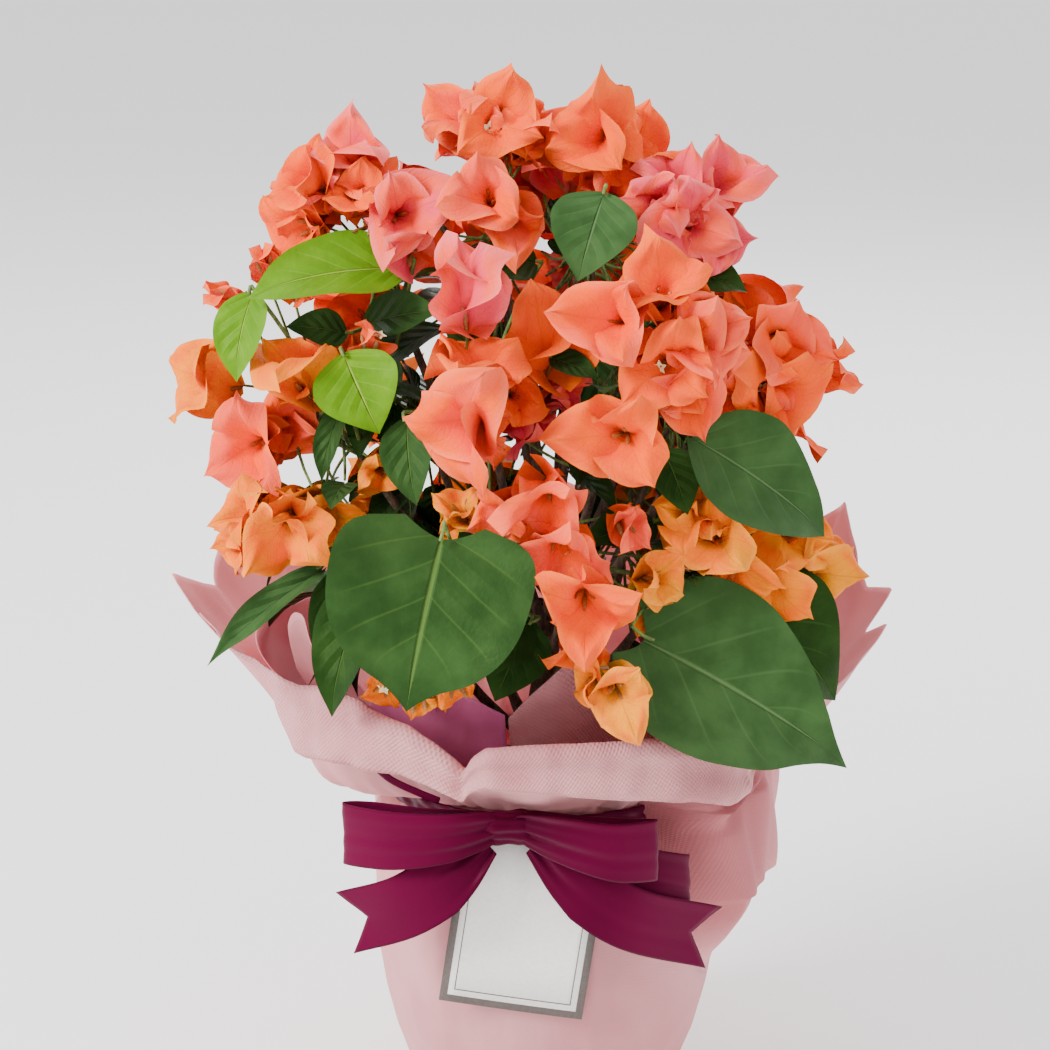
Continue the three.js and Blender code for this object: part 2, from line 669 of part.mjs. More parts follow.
function lobeGeometry({ rim, cuff, inset = 0 }) {
  const stops = rim.map(([, radius, height], i) => vec(i, radius, height));
  const rimCurve = new THREE.CatmullRomCurve3(stops, false, "centripetal");
  const span = rim[rim.length - 1][0] - rim[0][0];
  const columns = Math.max(2 * (rim.length - 1), Math.round(span / 7));
  const foot = vec(sheet.tie - inset, sheet.tieHeight + gap + sheet.thick / 2, 0);
  const rows = [0, 0.2, 0.45, 0.72, 1].map((t) =>
    Array.from({ length: columns + 1 }, (_, j) => {
      const edge = rimCurve.getPoint(j / columns);
      const stop = Math.min(Math.floor(edge.x), rim.length - 2);
      const angle = rad(mix(rim[stop][0], rim[stop + 1][0], edge.x - stop));
      const ripple = 1.4 * Math.sin(t * Math.PI) * Math.cos(angle * sheet.pleats);
      const out = mix(t, Math.sin((t * Math.PI) / 2), 0.35);
      const radius = mix(foot.x, edge.y, out) + ripple;
      const rise = mix(t, t * t, 0.25);
      return vec(Math.cos(angle) * radius, Math.sin(angle) * radius, mix(foot.y, edge.z, rise));
    }),
  );
  if (cuff) {
    const rimRow = rows[rows.length - 1];
    [[3, 0], [6.5, 0.1], [9.5, 0.5], [9, 1]].forEach(([out, down]) =>
      rows.push(rimRow.map((p, j) => {
        const drop = down * mix(cuff[0], cuff[1], j / columns);
        return p.clone().add(vec(p.x, p.y, 0).setLength(out)).add(vec(0, 0, -drop));
      })),
    );
  }
  return shell(rows, sheet.thick);
}

// The part of the wrap that bulges over the ribbon on the right and hangs below it.
function flapGeometry() {
  const [from, to, columns] = [-37, 22, 9];
  const profile = [
    [83, 84, 104], [95, 97, 112], [103, 112, 122], [106.5, 134, 134], [105, 156, 146], [99, 171, 152],
  ];
  const rows = profile.map(([radius, height, flat]) =>
    Array.from({ length: columns + 1 }, (_, j) => {
      const share = j / columns;
      const bulge = Math.sin(share * Math.PI) ** 0.6;
      const angle = rad(mix(from, to, share));
      const r = mix(sheet.belly + gap + sheet.thick / 2, radius, bulge);
      return vec(Math.cos(angle) * r, Math.sin(angle) * r, mix(flat, height, bulge));
    }),
  );
  return shell(rows, sheet.thick);
}

// The ribbon: a band round the neck of the wrap, a knot, three loops and two tails

function bandGeometry() {
  const inner = sheet.tie + sheet.ripple + 1.1;
  const outer = inner + ribbon.thick;
  const low = sheet.tieHeight - sheet.neck + 1;
  const high = low + ribbon.bandDepth;
  return turned([[inner, low], [outer, low], [outer, high], [inner, high], [inner, low]], 40);
}

const knot = { at: [-16, -88, 160], size: [14, 13.6, 17] };
const loops = {
  bow_loop_left: [
    [-22.7, -91, 160], [-42, -98, 156], [-68, -95, 154], [-88, -81, 154], [-78, -73, 155], [-50, -82, 157],
    [-23.4, -86.5, 160],
  ],
  bow_loop_right: [
    [-9.3, -91, 160], [8, -101, 156], [30, -104, 152], [48, -95, 151], [40, -89, 151], [16, -88.5, 155],
    [-8.6, -86.5, 160],
  ],
  bow_loop_low: [
    [16, -83.8, 145], [30, -87, 141], [50, -84, 133], [63, -76, 128], [52, -75, 129], [34, -82.3, 138],
  ],
};
const tails = {
  bow_tail_left: [[-19.2, -90, 150.2], [-36, -94, 138], [-58, -93, 124], [-88, -81, 111]],
  bow_tail_right: [[-12.9, -90, 150.7], [8, -95.5, 135.5], [34, -97, 120], [74, -78, 103]],
};

// A loop goes out and comes back, and it narrows where it is gathered.
function loopGeometry(points) {
  const curve = new THREE.CatmullRomCurve3(points.map((p) => vec(...p)));
  const steps = 12;
  const rows = Array.from({ length: steps + 1 }, (_, i) => {
    const t = i / steps;
    const half = mix(ribbon.gathered, ribbon.width, Math.sin(Math.PI * t) ** 0.6) / 2;
    return [-half, 0, half].map((rise) => curve.getPoint(t).add(vec(0, 0, rise)));
  });
  return shell(rows, ribbon.thick);
}

// A tail falls from the knot, and its end is cut to a swallow tail.
function tailGeometry(points) {
  const curve = new THREE.CatmullRomCurve3(points.map((p) => vec(...p)));
  const steps = 7;
  const rows = Array.from({ length: steps + 1 }, (_, i) => {
    const t = i / steps;
    const along = curve.getTangent(t);
    const rise = cross(curve.getPoint(t).setZ(0), along);
    const half = mix(ribbon.gathered, ribbon.width, Math.min(1, t * 2.2)) / 2;
    const notch = t === 1 ? ribbon.notch : 0;
    return [-1, 0, 1].map((w) =>
      curve.getPoint(t).addScaledVector(rise, w * half).addScaledVector(along, (Math.abs(w) - 1) * notch),
    );
  });
  return shell(rows, ribbon.thick);
}

function knotGeometry() {
  const [wide, deep, high] = knot.size;
  const made = new THREE.SphereGeometry(1, 12, 8);
  return made.scale(wide / 2, deep / 2, high / 2).translate(...knot.at);
}

// The card leans on the front of the wrap, under the knot.
function cardGeometry() {
  const [w, h] = [card.width / 2, card.height / 2];
  const outline = new THREE.Shape([[-w, -h], [w, -h], [w, h], [-w, h]].map((p) => new THREE.Vector2(...p)));
  const made = new THREE.ExtrudeGeometry(outline, { depth: card.thick, bevelEnabled: false });
  made.rotateX(Math.PI / 2).rotateY(rad(card.tilt));
  return made.translate(card.middle[0], -sheet.belly - sheet.ripple - 2 * gap, card.middle[1]);
}

// The assembly

const paints = {
  bark: { color: 0x5f4636, roughness: 0.85 },
  bracts: { color: 0xee7b52, roughness: 0.6 },
  goldBracts: { color: 0xf0983c, roughness: 0.6 },
  leaf: { color: 0x3f7a2c, roughness: 0.5 },
  wrap: { color: 0xdcb4b4, roughness: 0.85 },
  lining: { color: 0x7a3a5e, roughness: 0.8 },
  satin: { color: 0x86124a, roughness: 0.35 },
  card: { color: 0xf4f1ea, roughness: 0.7 },
  plastic: { color: 0x3a3634, roughness: 0.5 },
  soil: { color: 0x3b2a20, roughness: 1 },
};
const materials = Object.fromEntries(
  Object.entries(paints).map(([name, paint]) => [name, new THREE.MeshStandardMaterial(paint)]),
);
const bougainvillea = new THREE.Group();

function show(name, geometry, paint) {
  const mesh = new THREE.Mesh(geometry, materials[paint]);
  mesh.name = name;
  bougainvillea.add(mesh);
}

// The pieces that don't grow stand first, and the plant then grows clear of them.
function stand(name, geometry, paint) {
  take(name, solidOf(geometry));
  show(name, geometry, paint);
}

stand("pot", potGeometry(), "plastic");
stand("soil", soilGeometry(), "soil");
stand("wrap_sleeve", sleeveGeometry(), "wrap");
for (const [name, lobe] of Object.entries(lobes)) {
  stand(name, lobeGeometry(lobe), name === "lining_plum" ? "lining" : "wrap");
}
stand("wrap_flap_right", flapGeometry(), "wrap");
stand("bow_band", bandGeometry(), "satin");
stand("bow_knot", knotGeometry(), "satin");
for (const [name, points] of Object.entries(loops)) stand(name, loopGeometry(points), "satin");
for (const [name, points] of Object.entries(tails)) stand(name, tailGeometry(points), "satin");
stand("gift_card", cardGeometry(), "card");

const trunkSolid = growTrunk(0);
take("trunk", trunkSolid);
show("trunk", geometryOf(trunkSolid), "bark");
const boughs = growBoughs();
for (const [name, { solid }] of Object.entries(boughs)) show(`bough_of_${name}`, geometryOf(solid), "bark");

const crown = Object.keys(masses).map((name) => {
  const limbCurve = boughs[name]?.curve ?? trunkCurve;
  return startMass(name, limbCurve.getTangent(1));
});
crown.forEach(growBranches);
crown.forEach((grown) => masses[grown.name].leaves.forEach((leaf) => growPlacedLeaf(grown, leaf)));
crown.forEach(growBlooms);
crown.forEach(growFillers);
const massPaint = { leaf: "leaf", spray: "goldBracts", bloom: "bracts" };
for (const { name, kept } of crown) show(name, geometryOf(fused(kept)), massPaint[name.split("_")[0]]);

export default bougainvillea;
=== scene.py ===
"""Looks of a gift-wrapped bougainvillea bush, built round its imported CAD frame.

The bush grows by the same seeded rule as its solids and is carried on to finer twigs, papery bracts
and veined leaves. The non-woven wrap, the satin bow and the card stand where their solids are.
Sizes in the tables are in millimetres, and meshes are in metres.
"""

import sys

import logging
import math
from dataclasses import dataclass, field, replace
from enum import Enum
from functools import cache

import bpy
import numpy as np
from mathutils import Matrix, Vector
from mathutils.bvhtree import BVHTree


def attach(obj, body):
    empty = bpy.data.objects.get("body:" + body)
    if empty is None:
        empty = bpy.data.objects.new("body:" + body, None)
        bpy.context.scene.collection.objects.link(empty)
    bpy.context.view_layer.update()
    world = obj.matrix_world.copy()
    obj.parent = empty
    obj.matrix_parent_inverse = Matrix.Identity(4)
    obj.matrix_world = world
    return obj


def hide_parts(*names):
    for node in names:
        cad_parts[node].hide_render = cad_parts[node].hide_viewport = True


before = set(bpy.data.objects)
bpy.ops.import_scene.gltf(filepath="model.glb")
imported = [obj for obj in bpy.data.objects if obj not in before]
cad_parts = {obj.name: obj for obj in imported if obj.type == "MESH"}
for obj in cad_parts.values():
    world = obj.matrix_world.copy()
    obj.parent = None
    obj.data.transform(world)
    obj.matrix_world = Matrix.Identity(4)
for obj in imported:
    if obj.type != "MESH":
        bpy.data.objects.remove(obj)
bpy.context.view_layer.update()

LOG = logging.getLogger("bush")
Array = np.ndarray
Value = float | Array
Point = tuple[float, float, float]
Socket = bpy.types.NodeSocket
Piece = bpy.types.Object
MM = 0.001
TURN = 2 * math.pi
# Draws of an angle stop just short of a full turn
DRAWN_TURN = 6.28
GOLDEN = math.radians(137.508)
# How thick cloth and ribbon are, and how near to each other points are joined, in metres
SHEET = 0.0005
WELD = 0.00002
SOIL_TOP = 122.3
# How far a bloom's middle lies above its root, as a share of its bracts' length
BLOOM_MIDDLE = 0.45


# Numbers and directions


def vec(x: float, y: float, z: float) -> Array:
    """A vector of three numbers."""
    return np.array((x, y, z), float)


UP = vec(0, 0, 1)
LEVEL = vec(1, 1, 0)


def unit(v: Array) -> Array:
    """The direction of a vector, or of each row of an array of vectors."""
    return v / np.maximum(np.linalg.norm(v, axis=-1, keepdims=True), 1e-9)


def mix(a: Value, b: Value, t: Value) -> Value:
    """The value that lies at t between a and b."""
    return a + (b - a) * t


def bump(x: Value, width: float, power: int = 2) -> Value:
    """A smooth bump, 1 where x is 0, which falls away over a width."""
    return np.exp(-((x / width) ** power))


def facing(azimuth: float, elevation: float) -> Array:
    """The direction of two angles in degrees: 0, 0 looks at -Y, and 90, 0 at +X."""
    a, e = math.radians(azimuth), math.radians(elevation)
    return vec(math.sin(a) * math.cos(e), -math.cos(a) * math.cos(e), math.sin(e))


def turned(v: Array, axis: Array, angle: float) -> Array:
    """A vector turned about an axis by an angle in radians."""
    c, s = math.cos(angle), math.sin(angle)
    return v * c + np.cross(axis, v) * s + axis * float(axis @ v) * (1 - c)


def around(angle: Array, radius: Value, height: Value) -> Array:
    """Points round the upright axis, by angle in radians, radius and height."""
    return np.stack(np.broadcast_arrays(np.cos(angle) * radius, np.sin(angle) * radius, height), axis=-1)


def map_grid(rows: int, columns: int, height: float = 1.0, width: float = 1.0) -> Array:
    """A map that spreads evenly over a grid of points."""
    v, u = np.meshgrid(np.linspace(0, height, rows), np.linspace(0, width, columns), indexing="ij")
    return np.dstack((u, v))


class Seeded:
    """Numbers from 0 to 1 that are the same on every run, by the source's own rule."""

    factor = 1664525
    step = 1013904223
    span = 4294967296

    def __init__(self, seed: int) -> None:
        """Starts the row of numbers at a seed."""
        self.state = seed

    def __call__(self) -> float:
        """The next number."""
        self.state = (self.state * self.factor + self.step) % self.span
        return self.state / self.span

    def between(self, low: float, high: float) -> float:
        """The next number, spread from low to high."""
        return mix(low, high, self())


def smooth_curve(points: list[tuple[float, ...]], samples: int) -> Array:
    """A centripetal Catmull-Rom curve through points, as the source's curves are.

    Args:
        points: The points that the curve passes through.
        samples: How many stretches it is cut into.

    Returns:
        Its samples + 1 points.
    """
    p = [np.array(q, float) for q in points]
    p = [2 * p[0] - p[1], *p, 2 * p[-1] - p[-2]]
    made = []
    for k in range(samples + 1):
        place = k / samples * (len(points) - 1)
        i = min(int(place), len(points) - 2)
        t = place - i
        a, b, c, d = p[i : i + 4]
        d0, d1, d2 = (max(np.linalg.norm(v) ** 0.5, 1e-4) for v in (b - a, c - b, d - c))
        m1 = ((b - a) / d0 - (c - a) / (d0 + d1) + (c - b) / d1) * d1
        m2 = ((c - b) / d1 - (d - b) / (d1 + d2) + (d - c) / d2) * d1
        made.append(
            b + m1 * t + (-3 * b + 3 * c - 2 * m1 - m2) * t**2 + (2 * b - 2 * c + m1 + m2) * t**3
        )
    return np.array(made)


@cache
def outline_curve(stops: tuple[float, ...], values: tuple[float, ...]) -> Array:
    """A smooth curve through values at stops, which leaves and bracts share."""
    return smooth_curve(list(zip(stops, values)), 80)


def spread_of(t: Array, stops: tuple[float, ...], values: tuple[float, ...]) -> Array:
    """The values at t of a smooth curve through values at stops."""
    curve = outline_curve(stops, values)
    return np.maximum(0, np.interp(t, curve[:, 0], curve[:, 1]))


# Nodes and colours


def linear(code: str) -> tuple[float, float, float, float]:
    """An sRGB hex colour as the linear colour that shaders take."""
    parts = [int(code[i : i + 2], 16) / 255 for i in (1, 3, 5)]
    return (*(c / 12.92 if c <= 0.04045 else ((c + 0.055) / 1.055) ** 2.4 for c in parts), 1.0)


def add_node(
    tree: bpy.types.NodeTree, kind: str, inputs: dict | None = None, **settings: object
) -> bpy.types.Node:
    """Adds a node to a tree.

    Args:
        tree: The tree of a material or of geometry nodes.
        kind: The node's type.
        inputs: Values by socket, named or numbered. An output socket is linked to it.
        settings: The node's own properties.

    Returns:
        The node.
    """
    node = tree.nodes.new(kind)
    for name, value in settings.items():
        setattr(node, name, value)
    for key, value in (inputs or {}).items():
        if isinstance(value, Socket):
            tree.links.new(value, node.inputs[key])
        else:
            node.inputs[key].default_value = value
    return node


class Paint:
    """A material in the making: its tree, with short ways to the nodes that patterns are made of."""

    def __init__(self, name: str, shine: str = "#ffffff", **uniform: float) -> None:
        """Starts a material whose uniform values are set on the shader's own sockets.

        Args:
            name: The material's name.
            shine: The colour of what it reflects, for things that are dyed or grown through.
            uniform: Values of the shader's sockets, with a low line for each space.
        """
        self.material = bpy.data.materials.new(name)
        self.material.use_nodes = True
        self.tree = self.material.node_tree
        self.shader = self.tree.nodes["Principled BSDF"]
        self.shader.inputs["Specular Tint"].default_value = linear(shine)
        for key, value in uniform.items():
            self.shader.inputs[key.replace("_", " ")].default_value = value

    def add(self, kind: str, inputs: dict | None = None, **settings: object) -> bpy.types.Node:
        """Adds a node to the material."""
        return add_node(self.tree, kind, inputs, **settings)

    def math(self, operation: str, *values: object) -> Socket:
        """The result of a Math node."""
        return self.add("ShaderNodeMath", dict(enumerate(values)), operation=operation).outputs[0]

    def times(self, a: object, b: object) -> Socket:
        """A product."""
        return self.math("MULTIPLY", a, b)

    def line(self, value: object, factor: object, start: object) -> Socket:
        """A value times a factor, counted from a start."""
        return self.math("MULTIPLY_ADD", value, factor, start)

    def off(self, value: object, middle: float) -> Socket:
        """How far a value is from a middle."""
        return self.math("ABSOLUTE", self.math("SUBTRACT", value, middle))

    def off_rib(self, across: Socket) -> Socket:
        """How far a blade's point is from its midrib: 0 on it, 1 at the rim."""
        return self.math("ABSOLUTE", self.line(across, 2.0, -1.0))

    def noise(self, place: Socket, scale: float, detail: float = 3, rough: float = 0.55) -> Socket:
        """The value of a noise, with its scale in waves per metre of place."""
        inputs = {"Vector": place, "Scale": scale, "Detail": detail, "Roughness": rough}
        return self.add("ShaderNodeTexNoise", inputs).outputs["Fac"]

    def place(self, stretch: Point = (1, 1, 1)) -> Socket:
        """Object coordinates, stretched along the axes."""
        source = self.add("ShaderNodeTexCoord").outputs["Object"]
        return self.add("ShaderNodeMapping", {"Vector": source, "Scale": stretch}).outputs[0]

    def uv(self) -> tuple[Socket, Socket]:
        """The piece's own UV map: across and along."""
        source = self.add("ShaderNodeTexCoord").outputs["UV"]
        split = self.add("ShaderNodeSeparateXYZ", {0: source})
        return split.outputs[0], split.outputs[1]

    def ramp(self, value: Socket, low: float, high: float) -> Socket:
        """A value that goes smoothly from 0 at low to 1 at high."""
        inputs = {"Value": value, "From Min": low, "From Max": high}
        return self.add("ShaderNodeMapRange", inputs, interpolation_type="SMOOTHSTEP").outputs["Result"]

    def fall(self, value: Socket, low: float, high: float) -> Socket:
        """A value that goes smoothly from 1 at low to 0 at high."""
        return self.math("SUBTRACT", 1.0, self.ramp(value, low, high))

    def blend(self, share: Socket, low: str | Socket, high: str | Socket) -> Socket:
        """Two colours mixed by a share. A colour is a hex code or a socket."""
        colours = {key: linear(c) if isinstance(c, str) else c for key, c in ((6, low), (7, high))}
        return self.add("ShaderNodeMix", {0: share, **colours}, data_type="RGBA").outputs[2]

    def over(self, base: Socket, colour: str | Socket, mask: Socket, strength: float) -> Socket:
        """A colour laid over a base, as strongly as a mask says."""
        return self.blend(self.times(mask, strength), base, colour)

    def finish(
        self, colour: Socket, height: Socket | None = None, depth: float = 0.0, rough: Socket | None = None
    ) -> bpy.types.Material:
        """Links the pattern to the shader.

        Args:
            colour: The colour's socket.
            height: The socket of the relief, if any.
            depth: How deep the relief is, in metres.
            rough: The socket of the roughness, where it varies.

        Returns:
            The material.
        """
        self.tree.links.new(colour, self.shader.inputs["Base Color"])
        if height is not None:
            relief = self.add("ShaderNodeBump", {"Height": height, "Distance": depth, "Strength": 1.0})
            self.tree.links.new(relief.outputs[0], self.shader.inputs["Normal"])
        if rough is not None:
            self.tree.links.new(rough, self.shader.inputs["Roughness"])
        return self.material


# Finishes


@dataclass(frozen=True)
class BractPaper:
    """A bougainvillea's bract: thin as paper and matt, with a fine net of veins."""

    name: str
    body: str
    second: str
    rim: str
    throat: str

    def make(self) -> bpy.types.Material:
        """The material: two hues that run into each other, a painted highlight on its rim and tip, an olive
        throat deepened by painted shade, and veins a shade deeper.

        Returns:
            The material.
        """
        paint = Paint(self.name, self.rim, Roughness=0.6, IOR=1.4, Specular_IOR_Level=0.3)
        across, along = paint.uv()
        side = paint.off_rib(across)
        row = paint.math("FRACT", paint.times(paint.line(side, -0.42, along), 6.5))
        veins = paint.times(paint.fall(paint.off(row, 0.5), 0.0, 0.1), 0.5)
        rib = paint.fall(side, 0.0, 0.06)
        # A net of finer veins, about 2.5 mm wide as in the real bract
        inputs = {"Vector": paint.place(), "Scale": 400.0}
        net = paint.add("ShaderNodeTexVoronoi", inputs, feature="DISTANCE_TO_EDGE").outputs["Distance"]
        fine = paint.times(paint.fall(net, 0.0, 0.12), 0.3)
        lines = paint.math("MAXIMUM", paint.math("MAXIMUM", veins, rib), fine)
        # The hues change over some 25 mm and from foot to tip, so that one bract carries both
        cloud = paint.noise(paint.place(), 40.0, 1.5)
        cloud = paint.line(paint.math("SUBTRACT", along, 0.6), 0.3, cloud)
        cloud = paint.line(paint.math("SUBTRACT", side, 0.5), 0.22, cloud)
        base = paint.blend(paint.ramp(cloud, 0.4, 0.6), self.body, self.second)
        # Painted highlight: the rim and the tip are lightened with the rim colour, as where light catches the
        # folded edges
        edge = paint.math("MAXIMUM", paint.ramp(side, 0.7, 1.02), paint.ramp(along, 0.8, 1.02))
        base = paint.over(base, self.rim, edge, 0.45)
        # The foot of each bract takes the throat colour: partly its own olive tint, partly painted shade deep
        # in the bloom's cup
        base = paint.over(base, self.throat, paint.fall(along, 0.0, 0.26), 0.85)
        base = paint.over(base, self.throat, lines, 0.2)
        return paint.finish(base, paint.times(lines, -1.0), 0.00025)


@dataclass(frozen=True)
class LeafBlade:
    """A bougainvillea's leaf: smooth and half glossy, with a pale midrib and sunk side veins."""

    name: str
    body: str
    light: str
    vein: str
    gloss: float = 0.42

    def make(self) -> bpy.types.Material:
        """The material: veins on the blade's own map, a quilted relief and a mottled green.

        Returns:
            The material.
        """
        paint = Paint(self.name, self.vein, IOR=1.42)
        across, along = paint.uv()
        side = paint.off_rib(across)
        bent = paint.times(paint.math("POWER", side, 0.85), -0.36)
        row = paint.math("FRACT", paint.times(paint.math("ADD", along, bent), 4.6))
        off_vein = paint.off(row, 0.5)
        fade = paint.times(paint.fall(side, 0.55, 0.98), paint.fall(along, 0.6, 0.85))
        veins = paint.times(paint.fall(off_vein, 0.0, 0.06), fade)
        rib = paint.fall(side, 0.008, 0.045)
        # Small bumps between the veins, about 2 mm apart
        pebble = paint.noise(paint.place(), 520.0, 2)
        cloud = paint.noise(paint.place(), 55.0, 3)
        base = paint.blend(paint.ramp(cloud, 0.3, 0.75), self.body, self.light)
        base = paint.over(base, self.light, paint.fall(along, 0.0, 0.3), 0.35)
        base = paint.over(base, self.vein, veins, 0.24)
        base = paint.over(base, self.vein, rib, 0.8)
        quilt = paint.times(paint.math("SUBTRACT", 0.5, off_vein), -1.1)
        relief = paint.math("ADD", paint.times(quilt, fade), paint.times(rib, -0.8))
        relief = paint.math("ADD", relief, paint.times(pebble, 0.18))
        return paint.finish(base, relief, 0.0011, paint.line(cloud, 0.25, self.gloss - 0.12))


@dataclass(frozen=True)
class Bark:
    """The skin of a stem: ridged lengthwise, with pale pores where it is old."""

    name: str
    ridge: str
    furrow: str
    wave: float

    def make(self) -> bpy.types.Material:
        """The material: ridges that are stretched along the stem, wave of them to the metre.

        Returns:
            The material.
        """
        paint = Paint(self.name, Roughness=0.8)
        ridges = paint.noise(paint.place((1, 1, 0.22)), self.wave, 5, 0.65)
        spots = paint.noise(paint.place(), self.wave * 2.4, 2)
        base = paint.blend(paint.ramp(ridges, 0.35, 0.65), self.furrow, self.ridge)
        base = paint.over(base, "#a08f78", paint.ramp(spots, 0.62, 0.72), 0.5)
        return paint.finish(base, ridges, 0.0006)


@dataclass(frozen=True)
class NonWoven:
    """Spun polypropylene cloth: matt, with loose fibres pressed together in fine dimples."""

    name: str
    light: str
    shade: str
    ribbed: bool = False
    # The colour of a painted shadow at the left of the map, if any
    painted_shade: str = ""

    def make(self) -> bpy.types.Material:
        """The material: dimples 1.1 mm apart, or a slanted mesh 1.5 mm wide on the mesh-faced side.

        At the left of its map, where it hangs in the shade of the cuff and the bow, a painted shadow darkens
        it.

        Returns:
            The material.
        """
        # Light passes through the thin cloth, so that its folds glow
        paint = Paint(self.name, self.light, Roughness=0.8, Subsurface_Weight=0.4, Subsurface_Scale=0.003)
        paint.shader.inputs["Subsurface Radius"].default_value = (1.0, 0.5, 0.5)
        across, along = paint.uv()
        fibres = paint.noise(paint.place(), 900.0, 4, 0.7)
        cloud = paint.noise(paint.place(), 16.0, 3)
        # The map is in metres of cloth, so the pitch is the angle to the metre
        pitch = TURN / 0.0015 if self.ribbed else TURN / 0.0011
        first = paint.math("SINE", paint.times(paint.line(along, 0.8, across), pitch))
        second = paint.math("SINE", paint.times(paint.line(across, -0.8, along), pitch * 0.8))
        if self.ribbed:
            weave = paint.math("ADD", paint.times(first, 0.6), paint.times(second, 0.4))
            share, depth = 0.26, 0.00022
        else:
            weave = paint.times(first, second)
            share, depth = 0.08, 0.0001
        relief = paint.math("ADD", weave, paint.times(fibres, 0.6))
        base = paint.blend(paint.ramp(cloud, 0.3, 0.75), self.light, self.shade)
        # Painted shade: the troughs of the dimples or the mesh are darkened with the shade colour
        base = paint.over(base, self.shade, paint.fall(weave, -0.9, 0.5), share)
        # Painted shadow: the left part of the flap is darkened where the cuff and the bow shade it
        if self.painted_shade:
            inside = paint.times(paint.ramp(along, 0.004, 0.03), paint.fall(across, 0.035, 0.068))
            base = paint.blend(inside, base, self.painted_shade)
        return paint.finish(base, relief, depth)


@dataclass(frozen=True)
class Satin:
    """Satin ribbon: woven of bright polyester, so that it shines across its length."""

    name: str
    light: str
    deep: str

    def make(self) -> bpy.types.Material:
        """The material: a soft gloss over slubs that run across the width, some 1 mm apart.

        Returns:
            The material.
        """
        paint = Paint(self.name, self.light, Roughness=0.38, Anisotropic=0.5)
        across, along = paint.uv()
        flat = paint.add("ShaderNodeCombineXYZ", {0: across, 1: along})
        wide = paint.add("ShaderNodeMapping", {"Vector": flat.outputs[0], "Scale": (0.06, 1, 1)})
        threads = paint.noise(wide.outputs[0], 900.0, 3)
        cloud = paint.noise(paint.place(), 14.0, 1)
        base = paint.blend(paint.ramp(cloud, 0.25, 0.8), self.light, self.deep)
        # The woven edge is a shade deeper over its last millimetre
        selvage = paint.ramp(paint.off(across, 0.014), 0.0125, 0.0138)
        return paint.finish(paint.over(base, self.deep, selvage, 0.5), threads, 0.00003)


@dataclass(frozen=True)
class Grain:
    """A dull thing with a grain: moulded plastic, card or potting mix."""

    name: str
    light: str
    dark: str
    wave: float
    depth: float
    roughness: float

    def make(self) -> bpy.types.Material:
        """The material: a mottle and relief with wave bumps to the metre.

        Returns:
            The material.
        """
        paint = Paint(self.name, Roughness=self.roughness)
        grain = paint.noise(paint.place(), self.wave, 4, 0.6)
        base = paint.blend(paint.ramp(grain, 0.3, 0.7), self.dark, self.light)
        return paint.finish(base, grain, self.depth)


class Tint(Enum):
    """The colours of bract that the bush carries, from its young golden sprays to the old pink ones."""

    CORAL = BractPaper("bract_paper_coral", "#f44c06", "#f05038", "#ff7a4a", "#d65600")
    SALMON = BractPaper("bract_paper_salmon", "#f05238", "#f4540a", "#ff8060", "#d65608")
    PINK = BractPaper("bract_paper_pink", "#e84258", "#f2543c", "#fb7c84", "#d24c28")
    ORANGE = BractPaper("bract_paper_orange", "#f65600", "#f4521a", "#ff7e30", "#d65a00")
    GOLD = BractPaper("bract_paper_golden", "#f48400", "#f26800", "#ffa028", "#b86800")
    AMBER = BractPaper("bract_paper_amber", "#ea8c00", "#ee7008", "#f8ac38", "#6c6a10")


class Green(Enum):
    """The greens of the leaves: old ones deep, young ones lime."""

    DEEP = LeafBlade("leaf_blade_deep", "#1c3213", "#28421a", "#46632a")
    MID = LeafBlade("leaf_blade_mid", "#223a1a", "#304b24", "#4f6c31")
    SAGE = LeafBlade("leaf_blade_sage", "#2d4824", "#3c5a30", "#557344", 0.55)
    LIME = LeafBlade("leaf_blade_lime", "#4a740c", "#608a16", "#8aa640")


BARK = Bark("bark_woody", "#6f5a45", "#3d2c21", 420.0)
GREEN_STEM = Bark("bark_green_twig", "#6f8a3a", "#4a5f2a", 500.0)
WRAP = NonWoven("non_woven_dusty_pink", "#e2999c", "#d0868a")
# The flap's cloth, with a painted shadow at its left
WRAP_FLAP_SHADED = replace(WRAP, name="non_woven_pink_doubled", painted_shade="#b0666a")
WRAP_RIBBED = NonWoven("non_woven_mesh_face", "#d99a9c", "#a4686c", True)
# A rose cloth for the sheet inside the collar: painted shade with the red light reflected there
WRAP_PAINTED_SHADE = NonWoven("non_woven_deep_rose", "#ff9aa2", "#ea7482")
PLUM = NonWoven("non_woven_plum", "#c0648a", "#96446a")
SATIN = Satin("satin_ribbon_wine", "#5c0a30", "#40051f")
POT_PLASTIC = Grain("moulded_polypropylene_pot", "#4a4441", "#383330", 900.0, 0.00005, 0.5)
POTTING_MIX = Grain("potting_mix_moist", "#4c382a", "#2a1d15", 260.0, 0.0012, 0.95)
CARD_STOCK = Grain("card_stock_white", "#f7f5f0", "#efece6", 700.0, 0.00002, 0.7)
CARD_FRAME = Grain("card_print_taupe", "#665d58", "#5b524d", 700.0, 0.00002, 0.65)
TUBE_SKIN = Grain("flower_tube_skin", "#a9713f", "#7c5a2c", 900.0, 0.0001, 0.6)
STAR_CREAM = Grain("flower_star_cream", "#fbf1c9", "#ecdf9c", 900.0, 0.0001, 0.55)


# Meshes


def quads_of(grid: Array, first: int = 0) -> Array:
    """The faces of a grid of points, whose numbers start at first."""
    rows, columns = grid.shape[:2]
    at = np.arange(rows * columns).reshape(rows, columns) + first
    return np.stack((at[:-1, :-1], at[:-1, 1:], at[1:, 1:], at[1:, :-1]), axis=-1).reshape(-1, 4)


